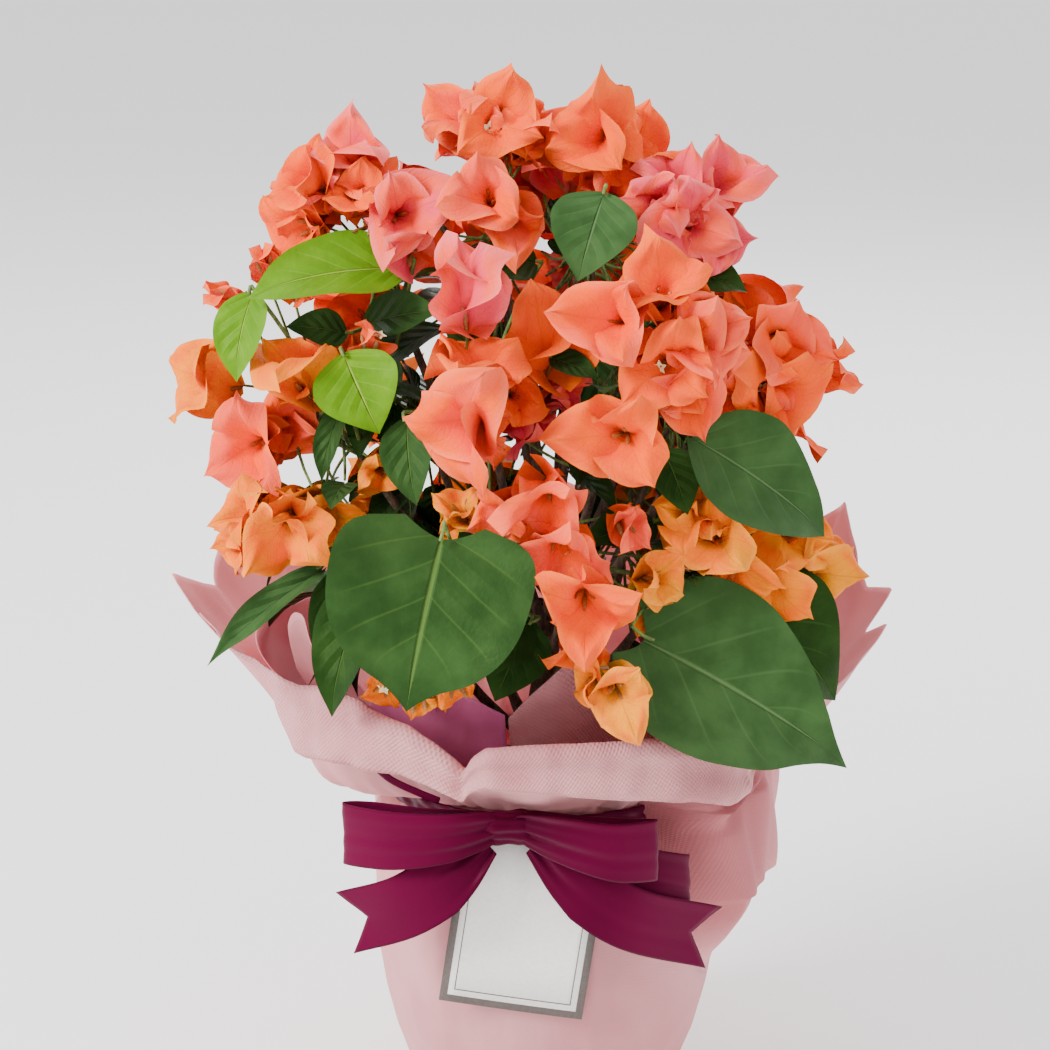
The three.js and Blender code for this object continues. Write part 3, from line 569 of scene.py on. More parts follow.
def tree_of(grid: Array) -> BVHTree:
    """The search tree of a grid's faces."""
    return BVHTree.FromPolygons(grid.reshape(-1, 3).tolist(), quads_of(grid).tolist())


def touches(fence: list[BVHTree], tree: BVHTree) -> bool:
    """Whether a piece's faces cut any of the fence's."""
    return any(tree.overlap(other) for other in fence)


def put(name: str, data: bpy.types.ID) -> Piece:
    """Makes an object of its data and puts it into the scene."""
    made = bpy.data.objects.new(name, data)
    bpy.context.scene.collection.objects.link(made)
    return made


def put_mesh(name: str, points: Array, edges: list | Array, faces: list | Array) -> Piece:
    """Makes an object of points in metres and the edges or faces between them."""
    mesh = bpy.data.meshes.new(name)
    mesh.from_pydata(np.asarray(points).tolist(), np.asarray(edges).tolist(), np.asarray(faces).tolist())
    return put(name, mesh)


def baked(piece: Piece) -> Piece:
    """Keeps what a piece's modifiers make as its plain mesh.

    Args:
        piece: The piece, with its modifiers.

    Returns:
        The same piece, with a plain mesh and no modifier.
    """
    graph = bpy.context.evaluated_depsgraph_get()
    graph.update()
    mesh = bpy.data.meshes.new_from_object(piece.evaluated_get(graph))
    piece.modifiers.clear()
    old, piece.data = piece.data, mesh
    mesh.name = piece.name
    bpy.data.meshes.remove(old)
    return piece


def thickened(piece: Piece, thickness: float = SHEET, weld: bool = False) -> Piece:
    """Gives a sheet its thickness, half to each side.

    Args:
        piece: The piece.
        thickness: Its thickness in metres.
        weld: Whether points that meet are joined first.

    Returns:
        The same piece, with a plain mesh.
    """
    if weld:
        piece.modifiers.new("weld", "WELD").merge_threshold = WELD
    solid = piece.modifiers.new("solidify", "SOLIDIFY")
    solid.thickness, solid.offset = thickness, 0.0
    return baked(piece)


def set_down(piece: Piece, slot: str, *nodes: str) -> None:
    """Lets a finished piece ride on the bush's one body and stand for its CAD nodes.

    Args:
        piece: The piece.
        slot: Its slot; not used.
        nodes: The names of the nodes that it replaces.
    """
    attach(piece, "root")
    if nodes:
        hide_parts(*nodes)
    LOG.info("%s: %d faces", piece.name, len(piece.data.polygons))


class Patches:
    """Grids of points that are joined into one mesh with one UV map."""

    def __init__(self) -> None:
        """Starts with nothing."""
        self.points: list[Array] = []
        self.maps: list[Array] = []
        self.faces: list[Array] = []
        self.slots: list[Array] = []
        self.count = 0

    def grid(self, points: Array, uv: Array | None = None, slot: int = 0) -> "Patches":
        """Adds a grid.

        Args:
            points: Rows of points in mm, as an array of rows, columns and 3.
            uv: The map, as an array of rows, columns and 2; 0 to 1 both ways if left out.
            slot: The number of its material.

        Returns:
            These patches.
        """
        rows, columns = points.shape[:2]
        quads = quads_of(points, self.count)
        self.points.append(points.reshape(-1, 3) * MM)
        self.maps.append((map_grid(rows, columns) if uv is None else uv).reshape(-1, 2))
        self.faces.append(quads)
        self.slots.append(np.full(len(quads), slot))
        self.count += rows * columns
        return self

    def build(self, name: str, *materials: bpy.types.Material) -> Piece:
        """Makes the object, with smooth faces.

        Args:
            name: The object's name.
            materials: The materials, in the order of the slots.

        Returns:
            The object.
        """
        faces = np.concatenate(self.faces)
        made = put_mesh(name, np.concatenate(self.points), [], faces)
        layer = made.data.uv_layers.new(name="map")
        layer.data.foreach_set("uv", np.concatenate(self.maps)[faces.ravel()].ravel())
        made.data.polygons.foreach_set("material_index", np.concatenate(self.slots))
        made.data.polygons.foreach_set("use_smooth", [True] * len(faces))
        for material in materials:
            made.data.materials.append(material)
        return made


class NodeTree:
    """A Geometry Nodes tree in the making, with named inputs."""

    def __init__(self, name: str) -> None:
        """Starts a tree that takes and gives one geometry.

        Args:
            name: The tree's name.
        """
        self.group = bpy.data.node_groups.new(name, "GeometryNodeTree")
        for way in ("INPUT", "OUTPUT"):
            self.group.interface.new_socket("Geometry", in_out=way, socket_type="NodeSocketGeometry")
        self.source = self.group.nodes.new("NodeGroupInput")
        self.sink = self.group.nodes.new("NodeGroupOutput")
        self.values: dict[str, object] = {}

    def size(self, name: str, value: object, kind: str = "NodeSocketFloat") -> Socket:
        """Adds a named input, and gives its socket inside the tree."""
        socket = self.group.interface.new_socket(name, in_out="INPUT", socket_type=kind)
        self.values[socket.identifier] = value
        return self.source.outputs[name]

    def add(self, kind: str, inputs: dict | None = None, **settings: object) -> bpy.types.Node:
        """Adds a node to the tree."""
        return add_node(self.group, kind, inputs, **settings)

    def given(self) -> Socket:
        """The geometry that the tree is given."""
        return self.source.outputs["Geometry"]

    def run(self, piece: Piece, result: Socket, dress: bpy.types.Material) -> Piece:
        """Ends the tree with real faces and a material, runs it on a piece and keeps the mesh.

        Args:
            piece: The piece that the tree works on.
            result: The socket of the geometry that it makes.
            dress: The material of what it makes.

        Returns:
            The piece, with a plain mesh and no modifier.
        """
        real = self.add("GeometryNodeRealizeInstances", {"Geometry": result})
        smooth = self.add("GeometryNodeSetShadeSmooth", {"Geometry": real.outputs[0]})
        dressed = self.add("GeometryNodeSetMaterial", {"Geometry": smooth.outputs[0], "Material": dress})
        self.group.links.new(dressed.outputs[0], self.sink.inputs[0])
        modifier = piece.modifiers.new("grow", "NODES")
        modifier.node_group = self.group
        for key, value in self.values.items():
            modifier[key] = value
        return baked(piece)


class Paths:
    """Centre lines with a radius at each point, made into tubes by Geometry Nodes."""

    def __init__(self) -> None:
        """Starts with no line."""
        self.points: list[Array] = []
        self.radii: list[float] = []
        self.edges: list[tuple[int, int]] = []

    def add(self, line: Array, start: float, end: float) -> None:
        """Adds a line of points in mm, with the radii at its two ends in mm.

        Args:
            line: The points.
            start: The radius at its start.
            end: The radius at its end.
        """
        first = len(self.radii)
        for k, point in enumerate(line):
            self.points.append(point * MM)
            self.radii.append(mix(start, end, k / max(len(line) - 1, 1)) * MM)
        self.edges += [(first + k, first + k + 1) for k in range(len(line) - 1)]

    def build(self, name: str, dress: bpy.types.Material, sides: int) -> Piece:
        """Makes the tubes.

        Args:
            name: The object's name.
            dress: The material.
            sides: How many sides a tube has.

        Returns:
            The object.
        """
        made = put_mesh(name, self.points, self.edges, [])
        layer = made.data.attributes.new("radius_m", "FLOAT", "POINT")
        layer.data.foreach_set("value", self.radii)
        tree = NodeTree(name + "_tubes")
        count = tree.size("Sides", sides, "NodeSocketInt")
        lines = tree.add("GeometryNodeMeshToCurve", {"Mesh": tree.given()})
        ring = tree.add("GeometryNodeCurvePrimitiveCircle", {"Resolution": count, "Radius": 1.0})
        wide = tree.add("GeometryNodeInputNamedAttribute", {"Name": "radius_m"}, data_type="FLOAT")
        inputs = {
            "Curve": lines.outputs[0],
            "Profile Curve": ring.outputs[0],
            "Scale": wide.outputs["Attribute"],
            "Fill Caps": True,
        }
        return tree.run(made, tree.add("GeometryNodeCurveToMesh", inputs).outputs[0], dress)


# How the bush grows


@dataclass(frozen=True)
class Bloom:
    """One bloom: three bracts round the end of its stalk."""

    root: Array
    axis: Array
    size: float
    open: float
    roll: float
    tint: Tint

    def ways(self) -> list[Array]:
        """The three directions across its axis in which its bracts stand."""
        hint = vec(1, 0, 0) if abs(self.axis[2]) > 0.9 else UP
        across = unit(np.cross(self.axis, hint))
        return [turned(across, self.axis, self.roll + k / 3 * TURN) for k in range(3)]


@dataclass(frozen=True)
class Pose:
    """How a bloom hangs: its middle, the way it looks, its bracts' length, opening, turn and tint."""

    at: Point
    face: tuple[float, float]
    size: float
    open: float
    roll: float
    tint: Tint

    def bloom(self) -> Bloom:
        """The bloom that hangs so."""
        axis = facing(*self.face)
        root = np.array(self.at, float) - axis * BLOOM_MIDDLE * self.size
        return Bloom(root, axis, self.size, self.open, math.radians(self.roll), self.tint)


@dataclass(frozen=True)
class Spray:
    """A cluster of blooms: its middle, the way it faces, its count, the bracts' length and opening.

    Where the photograph shows its blooms they hang by their poses. Else they stand in the rule's own
    ring, in their tints.
    """

    at: Point
    face: tuple[float, float]
    blooms: int
    size: float
    open: float
    poses: tuple[Pose, ...] = ()
    tints: tuple[Tint, ...] = (Tint.AMBER,)

    def hub(self) -> Array:
        """Where its stalks start."""
        return np.array(self.at, float) - facing(*self.face) * (self.size * 0.75 + self.blooms * 3)


class Outline(Enum):
    """A leaf's half width from its base to its tip, as shares of the widest, and how deep its base is cut."""

    LANCE = ((0.06, 0.3, 0.62, 0.88, 1, 0.94, 0.78, 0.52, 0.3, 0.12, 0.0), 0.04)
    HEART = ((0.34, 0.56, 0.82, 0.98, 0.98, 0.87, 0.68, 0.36, 0.16, 0.06, 0.0), 0.1)
    ROUND = ((0.4, 0.72, 0.94, 1, 0.99, 0.95, 0.84, 0.61, 0.26, 0.09, 0.0), 0.1)


# Where along a blade the half widths of leaves and bracts are given
LEAF_STOPS = (0, 0.03, 0.1, 0.2, 0.36, 0.5, 0.64, 0.78, 0.88, 0.95, 1)
BRACT_STOPS = (0, 0.05, 0.13, 0.25, 0.38, 0.52, 0.66, 0.78, 0.87, 0.94, 1)
BRACT_WIDTHS = (0.14, 0.4, 0.72, 0.95, 1, 0.94, 0.79, 0.58, 0.33, 0.13, 0.0)


@dataclass(frozen=True)
class LeafPlace:
    """A leaf with a place of its own, from its base to its tip."""

    base: Point
    tip: Point
    width: float
    face: tuple[float, float]
    green: Green
    outline: Outline = Outline.LANCE


@dataclass(frozen=True)
class Mass:
    """A mass of the crown: its heart, where its bough leaves the trunk, and what it bears.

    The leaves have a place of their own, and filler says how densely more close round the heart. The
    buds are small blooms on fine twigs. A full mass has smaller blooms between those of its sprays.
    """

    heart: Point
    start: float
    filler: int
    sprays: tuple[Spray, ...]
    leaves: tuple[LeafPlace, ...] = ()
    buds: tuple[Pose, ...] = ()
    full: bool = True


CORAL, SALMON, PINK, ORANGE, GOLD, AMBER = Tint
DEEP, MID, SAGE, LIME = Green

# The masses that the photograph shows, with the leaves, blooms and buds that it shows there
MASSES: dict[str, Mass] = {
    "bloom_top_left": Mass((-16, 2, 372), 0, 3, (
        Spray((-24, -20, 452), (-12, 42), 3, 37, 40, (
            Pose((-20, -26, 456), (5, 20), 35, 50, 30, ORANGE),
            Pose((-37, -14, 456), (-50, 45), 34, 30, 90, SALMON),
            Pose((-4, -16, 450), (30, 55), 34, 32, 60, SALMON),
        )),
        Spray((-29, -56, 424), (-5, 22), 2, 36, 36, (
            Pose((-25, -62, 430), (-5, 25), 38, 32, 30, CORAL),
            Pose((-12, -58, 416), (15, -10), 32, 40, 90, SALMON),
        )),
    )),
    "bloom_top_right": Mass((20, -4, 384), 259, 3, (
        Spray((25, -15, 442), (22, 38), 3, 40, 36, (
            Pose((22, -22, 448), (-15, 12), 40, 42, 30, ORANGE),
            Pose((42, -10, 442), (40, 45), 36, 34, 0, ORANGE),
            Pose((30, -20, 423), (25, 10), 34, 38, 60, CORAL),
        )),
    ), (
        LeafPlace((24, -62, 431), (13, -84, 399), 37, (-8, 12), SAGE),
    )),
    "bloom_upper_left": Mass((-62, -8, 366), 235, 3, (
        Spray((-88, -30, 422), (-25, 32), 5, 36, 38, (
            Pose((-101, -26, 430), (-40, 20), 34, 40, 30, ORANGE),
            Pose((-107, -32, 410), (-45, 0), 34, 40, 75, ORANGE),
            Pose((-84, -18, 440), (-5, 60), 34, 26, 30, PINK),
            Pose((-80, -44, 412), (-15, 5), 40, 44, 20, SALMON),
            Pose((-62, -46, 420), (10, 15), 38, 40, 60, PINK),
        )),
        Spray((-55, -44, 420), (5, 30), 1, 36, 38, (
            Pose((-58, -54, 402), (0, -5), 36, 40, 90, PINK),
        )),
    ), (
        LeafPlace((-79, -40, 371), (-46, -58, 381), 24, (0, 40), MID),
        LeafPlace((-86, -36, 366), (-111, -44, 371), 18, (0, 35), MID),
    )),
    "bloom_upper_right": Mass((52, -4, 358), 229, 3, (
        Spray((68, -26, 408), (28, 26), 4, 36, 40, (
            Pose((61, -44, 414), (20, 5), 38, 44, 30, PINK),
            Pose((74, -38, 405), (38, 5), 35, 42, 70, PINK),
            Pose((48, -46, 424), (-5, 20), 30, 36, 0, PINK),
            Pose((72, -22, 426), (30, 40), 36, 38, 30, PINK),
        )),
    ), (
        LeafPlace((60, -40, 394), (86, -50, 388), 20, (10, 50), DEEP),
    )),
    "bloom_right": Mass((66, -30, 322), 210, 2, (
        Spray((96, -52, 359), (38, 12), 4, 38, 42, (
            Pose((99, -52, 364), (35, 10), 38, 46, 25, CORAL),
            Pose((97, -58, 342), (25, -15), 38, 48, 80, ORANGE),
            Pose((122, -32, 350), (75, 5), 26, 24, 0, SALMON),
            Pose((76, -74, 344), (10, -10), 36, 42, 50, CORAL),
        )),
    ), (
        LeafPlace((64, -86, 332), (123, -74, 286), 50, (20, 30), SAGE),
    )),
    "bloom_front_right": Mass((28, -42, 334), 223, 2, (
        Spray((26, -88, 385), (-12, 22), 2, 40, 38, (
            Pose((27, -104, 385), (-22, 15), 38, 38, 0, CORAL),
            Pose((48, -88, 396), (5, 50), 38, 36, 60, ORANGE),
        )),
        Spray((52, -86, 374), (12, 12), 3, 38, 42, (
            Pose((50, -102, 366), (-10, 0), 38, 46, 30, ORANGE),
            Pose((66, -90, 378), (20, 20), 36, 40, 80, CORAL),
            Pose((60, -92, 352), (10, -30), 36, 44, 0, CORAL),
        )),
        Spray((30, -112, 339), (8, 14), 1, 40, 60, (
            Pose((30, -116, 339), (-12, 8), 37, 56, 10, ORANGE),
        )),
    ), (
        LeafPlace((50, -78, 324), (60, -92, 300), 22, (10, 20), DEEP),
        LeafPlace((2, -76, 364), (22, -84, 357), 13, (0, 45), MID),
    )),
    "bloom_front": Mass((-24, -42, 326), 217, 2, (
        Spray((-34, -86, 388), (0, 80), 1, 38, 16, (
            Pose((-33, -88, 393), (0, 82), 39, 13, 30, PINK),
        )),
        Spray((-30, -104, 361), (-8, 4), 3, 40, 46, (
            Pose((-29, -90, 360), (0, 58), 42, 40, 90, ORANGE),
            Pose((-36, -112, 342), (-30, -8), 44, 52, 0, SALMON),
            Pose((7, -64, 344), (60, 0), 26, 28, 0, PINK),
        )),
        Spray((-1, -74, 370), (10, 65), 1, 36, 30, (
            Pose((0, -74, 369), (5, 65), 40, 32, 30, ORANGE),
        )),
    ), (
        LeafPlace((-4, -52, 400), (-30, -62, 404), 24, (0, 40), DEEP),
        LeafPlace((-60, -74, 336), (-56, -90, 303), 24, (-20, 20), MID),
    )),
    "spray_left": Mass((-78, -26, 304), 207, 2, (
        Spray((-146, -20, 341), (-60, 12), 1, 38, 42, (
            Pose((-148, -22, 341), (-70, 10), 36, 40, 0, GOLD),
        )),
        Spray((-108, -50, 353), (-18, 6), 1, 44, 48, (
            Pose((-107, -50, 354), (-20, 55), 42, 38, 90, GOLD),
        )),
        Spray((-126, -45, 317), (-28, -8), 2, 38, 44, (
            Pose((-128, -44, 316), (-25, -10), 38, 48, 20, CORAL),
            Pose((-113, -32, 322), (10, -5), 32, 36, 60, SALMON),
        )),
    ), (
        LeafPlace((-62, -46, 399), (-127, -60, 390), 42, (0, 58), LIME),
        LeafPlace((-127, -46, 385), (-134, -60, 350), 27, (-30, 20), LIME),
        LeafPlace((-86, -64, 362), (-71, -80, 332), 38, (-10, 30), LIME),
        LeafPlace((-88, -52, 338), (-98, -62, 306), 14, (-30, 20), MID),
    ), (
        Pose((-121, -30, 394), (-20, 75), 17, 3, 0, SALMON),
        Pose((-138, -32, 380), (-75, 15), 19, 5, 0, SALMON),
        Pose((-75, -60, 368), (0, 75), 22, 4, 0, SALMON),
        Pose((-108, -34, 384), (10, 60), 14, 3, 0, CORAL),
        Pose((-72, -50, 308), (10, 0), 22, 30, 40, AMBER),
    )),
    "spray_low_left": Mass((-66, -30, 256), 164, 2, (
        Spray((-113, -68, 287), (-25, -8), 3, 38, 46, (
            Pose((-111, -72, 288), (-10, -20), 38, 48, 30, GOLD),
            Pose((-132, -58, 277), (-50, -5), 24, 36, 0, GOLD),
            Pose((-96, -62, 290), (30, -10), 30, 36, 60, AMBER),
        )),
    ), (
        LeafPlace((-97, -76, 272), (-146, -94, 235), 14, (10, 50), SAGE),
        LeafPlace((-77, -94, 271), (-93, -117, 219), 31, (-30, 20), DEEP),
        LeafPlace((-91, -60, 264), (-89, -70, 214), 25, (-15, 15), DEEP),
    )),
    "leaf_front": Mass((-32, -56, 256), 173, 1, (
        Spray((-46, -106, 232), (-5, -50), 3, 24, 50, (
            Pose((-69, -98, 226), (-15, -30), 18, 44, 0, GOLD),
            Pose((-55, -102, 221), (-5, -40), 15, 40, 60, AMBER),
            Pose((-38, -102, 227), (15, -40), 16, 42, 30, GOLD),
        )),
        Spray((-36, -88, 300), (0, 30), 1, 22, 40),
    ), (
        LeafPlace((-44, -110, 294), (-59, -136, 227), 86, (-4, 26), MID, Outline.ROUND),
        LeafPlace((-6, -84, 250), (-40, -100, 238), 30, (10, 30), DEEP),
        LeafPlace((-7, -84, 249), (-22, -98, 219), 30, (-5, 20), DEEP),
    ), (
        Pose((-37, -60, 288), (-10, 10), 20, 30, 20, AMBER),
    )),
    "bloom_low_front": Mass((10, -56, 266), 181, 1, (
        Spray((-1, -108, 310), (-6, 12), 2, 38, 46, (
            Pose((0, -110, 309), (0, -25), 38, 46, 0, CORAL),
            Pose((-19, -100, 302), (-40, -5), 26, 36, 30, SALMON),
        )),
        Spray((16, -116, 276), (2, -2), 2, 36, 48, (
            Pose((6, -110, 287), (5, -40), 34, 44, 30, CORAL),
            Pose((16, -118, 266), (0, -15), 36, 48, 90, ORANGE),
        )),
        Spray((14, -104, 246), (-10, -20), 1, 26, 40, (
            Pose((15, -104, 243), (0, -20), 24, 40, 0, ORANGE),
        )),
        Spray((26, -130, 230), (-2, -4), 1, 36, 46, (
            Pose((30, -124, 230), (5, -2), 33, 64, 0, AMBER),
            Pose((19, -112, 233), (-50, -10), 26, 30, 30, GOLD),
        )),
        Spray((46, -94, 272), (20, 10), 1, 24, 30),
    ), (
        LeafPlace((46, -82, 294), (16, -100, 290), 22, (0, 40), DEEP),
    ), (
        Pose((45, -84, 254), (0, -10), 20, 32, 60, AMBER),
        Pose((34, -100, 296), (30, -20), 22, 36, 30, CORAL),
    )),
    "bloom_low_right": Mass((58, -44, 262), 175, 1, (
        Spray((78, -86, 281), (18, 2), 3, 36, 44, (
            Pose((70, -88, 288), (-15, 10), 34, 46, 30, AMBER),
            Pose((82, -86, 271), (10, -20), 34, 44, 60, GOLD),
            Pose((60, -84, 298), (-30, 20), 28, 36, 0, GOLD),
        )),
        Spray((108, -64, 273), (42, -6), 3, 38, 44, (
            Pose((106, -66, 285), (25, 15), 36, 44, 30, GOLD),
            Pose((118, -58, 262), (35, -20), 34, 44, 75, AMBER),
            Pose((96, -72, 262), (15, -30), 32, 42, 20, GOLD),
        )),
    ), (
        LeafPlace((44, -98, 247), (134, -92, 188), 78, (4, 36), SAGE, Outline.HEART),
        LeafPlace((82, -66, 264), (130, -64, 208), 54, (14, 30), DEEP),
    )),
}  # fmt: skip


@dataclass(frozen=True)
class BackRing:
    """A ring of masses on the side of the crown that faces away.

    The places are each mass's azimuth and the height at which its bough leaves the trunk.
    """

    height: float
    radius: float
    lift: float
    filler: int
    places: tuple[tuple[float, float], ...]
    tints: tuple[Tint, ...]

    def masses(self) -> list[Mass]:
        """Its masses. Those at the back left go without the smaller blooms between the ring's own.

        Returns:
            The masses, in the order of their places.
        """
        made = []
        for azimuth, start in self.places:
            out = facing(azimuth, 0)
            heart = tuple(out * self.radius * 0.48 + vec(0, 0, self.height - 44))
            at = tuple(out * self.radius + vec(0, 0, self.height))
            spray = Spray(at, (azimuth, self.lift), 5, 37, 42, tints=self.tints)
            made.append(Mass(heart, start, self.filler, (spray,), full=azimuth > -120))
        return made


BACK_RINGS: dict[str, BackRing] = {
    "upper": BackRing(418, 60, 32, 4, ((150, 241), (-140, 247)), (SALMON, PINK, CORAL)),
    "middle": BackRing(345, 106, 12, 5, ((100, 186), (172, 192), (-106, 198)), (CORAL, ORANGE, SALMON)),
    "lower": BackRing(278, 98, -6, 5, ((134, 151), (-142, 157)), (GOLD, CORAL, AMBER)),
}


def all_masses() -> dict[str, Mass]:
    """The masses of the crown by name, in the source's order.

    Returns:
        The masses.
    """
    made = dict(MASSES)
    for name, ring in BACK_RINGS.items():
        made |= {f"bloom_back_{name}_{k + 1}": mass for k, mass in enumerate(ring.masses())}
    return made


@dataclass(frozen=True)
class Blade:
    """A leaf's blade: folded a little along its midrib, drooping, with a wavy margin."""

    base: Array
    tip: Array
    width: float
    face: Array
    outline: Outline
    phase: float
    wave: float

    def points(self, size: float, rows: int, columns: int) -> Array:
        """The grid of the blade.

        Args:
            size: The share of its full size that it reaches.
            rows: How many faces lie along it.
            columns: How many faces lie across it.

        Returns:
            The points in mm.
        """
        widths, cut = self.outline.value
        length = float(np.linalg.norm(self.tip - self.base)) * size
        along = unit(self.tip - self.base)
        side = unit(np.cross(along, self.face))
        up = np.cross(side, along)
        t = np.linspace(0, 1, rows + 1)[:, None]
        s = np.linspace(-1, 1, columns + 1)[None, :]
        share = spread_of(t, LEAF_STOPS, widths)
        lobe = cut * length * np.abs(s) ** 1.6 * np.clip(1 - t / 0.3, 0, 1)
        ripple = self.wave * length * np.abs(s) ** 2 * np.sin(9 * t + self.phase + 1.7 * s)
        ripple = ripple * np.minimum(1, 2.5 * share)
        fold = 0.1 * length * np.abs(s) ** 1.3 * share
        droop = -0.07 * length * (2 * t - 1) ** 2 - 0.03 * length * np.clip(t - 0.8, 0, 1) * 5
        lift = fold * 0.8 + droop + ripple
        across = s * share * self.width * size / 2
        flat = self.base + along * (t * length - lobe)[..., None]
        return flat + side * across[..., None] + up * lift[..., None]


@dataclass(frozen=True)
class Filler:
    """A leaf that fills: its base, tip and width, and the way it faces."""

    base: Array
    tip: Array
    width: float
    face: Array


@dataclass
class Bush:
    """The growing rule: limbs first, then the twigs, blooms and leaves of each mass."""

    # How far apart a ring's blooms stand and their stalks start, and how much each leans out per mm
    apart: float = 34.0
    step: float = 3.5
    lean: float = 0.022
    # How long the stem of a mass is, and the radii of all wood at its two ends
    stem: float = 6.4
    trunk_wide: tuple[float, float] = (8.0, 2.2)
    trunk_flare: float = 4.5
    bough_wide: tuple[float, float] = (2.6, 1.7)
    stem_wide: tuple[float, float] = (1.7, 1.5)
    branch_wide: tuple[float, float] = (1.3, 0.95)
    leaf_branch_wide: tuple[float, float] = (1.0, 0.9)
    leaf_stalk_wide: tuple[float, float] = (0.9, 0.8)
    bloom_stalk_wide: tuple[float, float] = (0.75, 0.6)
    fine_stalk_wide: tuple[float, float] = (0.8, 0.6)
    # The seeds of a mass's frame, of what the rule also gives its solids, and of what only it has
    frame_seed: int = 15485863
    ring_seed: int = 7919
    own_seed: int = 104729
    masses: dict[str, Mass] = field(default_factory=all_masses)
    blooms: list[Bloom] = field(default_factory=list)
    wood: Paths = field(default_factory=Paths)
    green: Paths = field(default_factory=Paths)
    blades: dict[Green, Patches] = field(default_factory=lambda: {g: Patches() for g in Green})
    papers: dict[Tint, Patches] = field(default_factory=lambda: {t: Patches() for t in Tint})
    fence: list[BVHTree] = field(default_factory=list)
    hedge: list[BVHTree] = field(default_factory=list)

    def trunk_line(self) -> Array:
        """The trunk's centre line, from just under the soil to the heart of the top mass."""
        foot = [(0, 0, SOIL_TOP - 5), (-1, -1, SOIL_TOP + 12)]
        points = [*foot, (-4, -2, 175), (3, 3, 235), (-3, 5, 295)]
        return smooth_curve([*points, self.masses["bloom_top_left"].heart], 120)

    def bough_line(self, mass: Mass) -> Array:
        """A bough's centre line: from the trunk, by its elbow, to the heart of its mass.

        Args:
            mass: The mass.

        Returns:
            The points of the line.
        """
        line = self.trunk_line()
        start = line[np.argmax(line[:, 2] >= mass.start)]
        heart = np.array(mass.heart, float)
        elbow = start + (heart - start) * 0.55
        elbow[2] = mix(start[2], heart[2], 0.36)
        t = np.linspace(0, 1, 30)[:, None]
        return start * (1 - t) ** 2 + elbow * 2 * t * (1 - t) + heart * t**2

    def limb(self, line: Array, radii: Array, seed: int, sides: int) -> Array:
        """A limb whose skin has ridges and knots.

        Args:
            line: The centre line.
            radii: The radius at each of its points.
            seed: The seed of its ridges.
            sides: How many faces go round it.

        Returns:
            The grid of its skin.
        """
        along = unit(np.gradient(line, axis=0))
        side = unit(np.cross(along, vec(0.3, 1, 0.1)))
        other = np.cross(along, side)
        turn = np.linspace(0, TURN, sides + 1)
        step = np.linspace(0, 1, len(line))[:, None]
        ridge = 0.05 * np.sin(5 * turn + 9 * step + seed) + 0.035 * np.sin(11 * turn - 17 * step + 2 * seed)
        knot = 0.07 * np.maximum(0, np.sin(23 * step + seed)) ** 6 * (1 + 0.6 * np.cos(turn + 40 * step))
        wide = radii[:, None] * (1 + ridge + knot)
        ring = np.cos(turn)[None, :, None] * side[:, None] + np.sin(turn)[None, :, None] * other[:, None]
        return line[:, None] + ring * wide[..., None]

    def grow_limbs(self) -> Patches:
        """The trunk and all boughs, as one mesh of skins.

        Returns:
            The skins.
        """
        line = self.trunk_line()
        line = line[line[:, 2] > SOIL_TOP - 2]
        share = np.sqrt(np.linspace(0, 1, len(line)))
        rise = np.maximum(0, line[:, 2] - SOIL_TOP)
        radii = mix(*self.trunk_wide, share) + self.trunk_flare * np.exp(-rise / 9)
        skins = Patches().grid(self.limb(line, radii, 3, 28))
        for k, mass in enumerate(self.masses.values()):
            if mass.start:
                curve = self.bough_line(mass)
                skins.grid(self.limb(curve, np.linspace(*self.bough_wide, len(curve)), k, 12))
        return skins

    def stalk(self, a: Array, b: Array, wide: tuple[float, float], draw: Seeded, woody: bool = False) -> None:
        """A twig that bends a little between its two ends.

        Args:
            a: Where it starts.
            b: Where it ends.
            wide: Its radii at the two ends.
            draw: The row of draws that bends it.
            woody: Whether it has bark.
        """
        length = float(np.linalg.norm(b - a))
        bend = vec(draw() - 0.5, draw() - 0.5, draw() - 0.7) * length * 0.14
        t = np.linspace(0, 1, 7)[:, None]
        line = a + (b - a) * t + bend * 4 * t * (1 - t)
        (self.wood if woody else self.green).add(line, *wide)

    def ring_of(self, spray: Spray, draw: Seeded) -> list[Bloom]:
        """The blooms of a spray by the rule: they stand in a ring and lean outwards.

        Args:
            spray: The spray.
            draw: The mass's first row of draws.

        Returns:
            The blooms.
        """
        axis, side = facing(*spray.face), facing(spray.face[0] + 90, 0)
        start = draw() * TURN
        off = self.apart / (2 * math.sin(math.pi / spray.blooms)) if spray.blooms > 1 else 0.0
        made = []
        for k in range(spray.blooms):
            out = turned(side, axis, start + k / spray.blooms * TURN)
            lean = unit(axis + out * off * self.lean)
            size = spray.size * draw.between(0.92, 1.08)
            root = np.array(spray.at, float) + out * off - axis * 0.3 * off - lean * BLOOM_MIDDLE * size
            opening = spray.open * draw.between(0.85, 1.15)
            made.append(Bloom(root, lean, size, opening, draw() * TURN, spray.tints[k % len(spray.tints)]))
        return made

    def swayed(self, bloom: Bloom, draw: Seeded) -> Bloom:
        """A bloom that nods some way off its place in the ring, about its own middle.

        Args:
            bloom: The bloom.
            draw: The mass's second row of draws.

        Returns:
            The bloom that nods.
        """
        share = min(1.0, bloom.open / 40) ** 2
        rise = 0.45 if bloom.root[2] > 335 else -0.05
        sway = vec(draw() - 0.5, draw() - 0.5, draw() - 0.5) * 1.1 + vec(0, 0, rise)
        axis = unit(bloom.axis + sway * share)
        root = bloom.root + (bloom.axis - axis) * bloom.size * BLOOM_MIDDLE
        return replace(bloom, axis=axis, root=root)

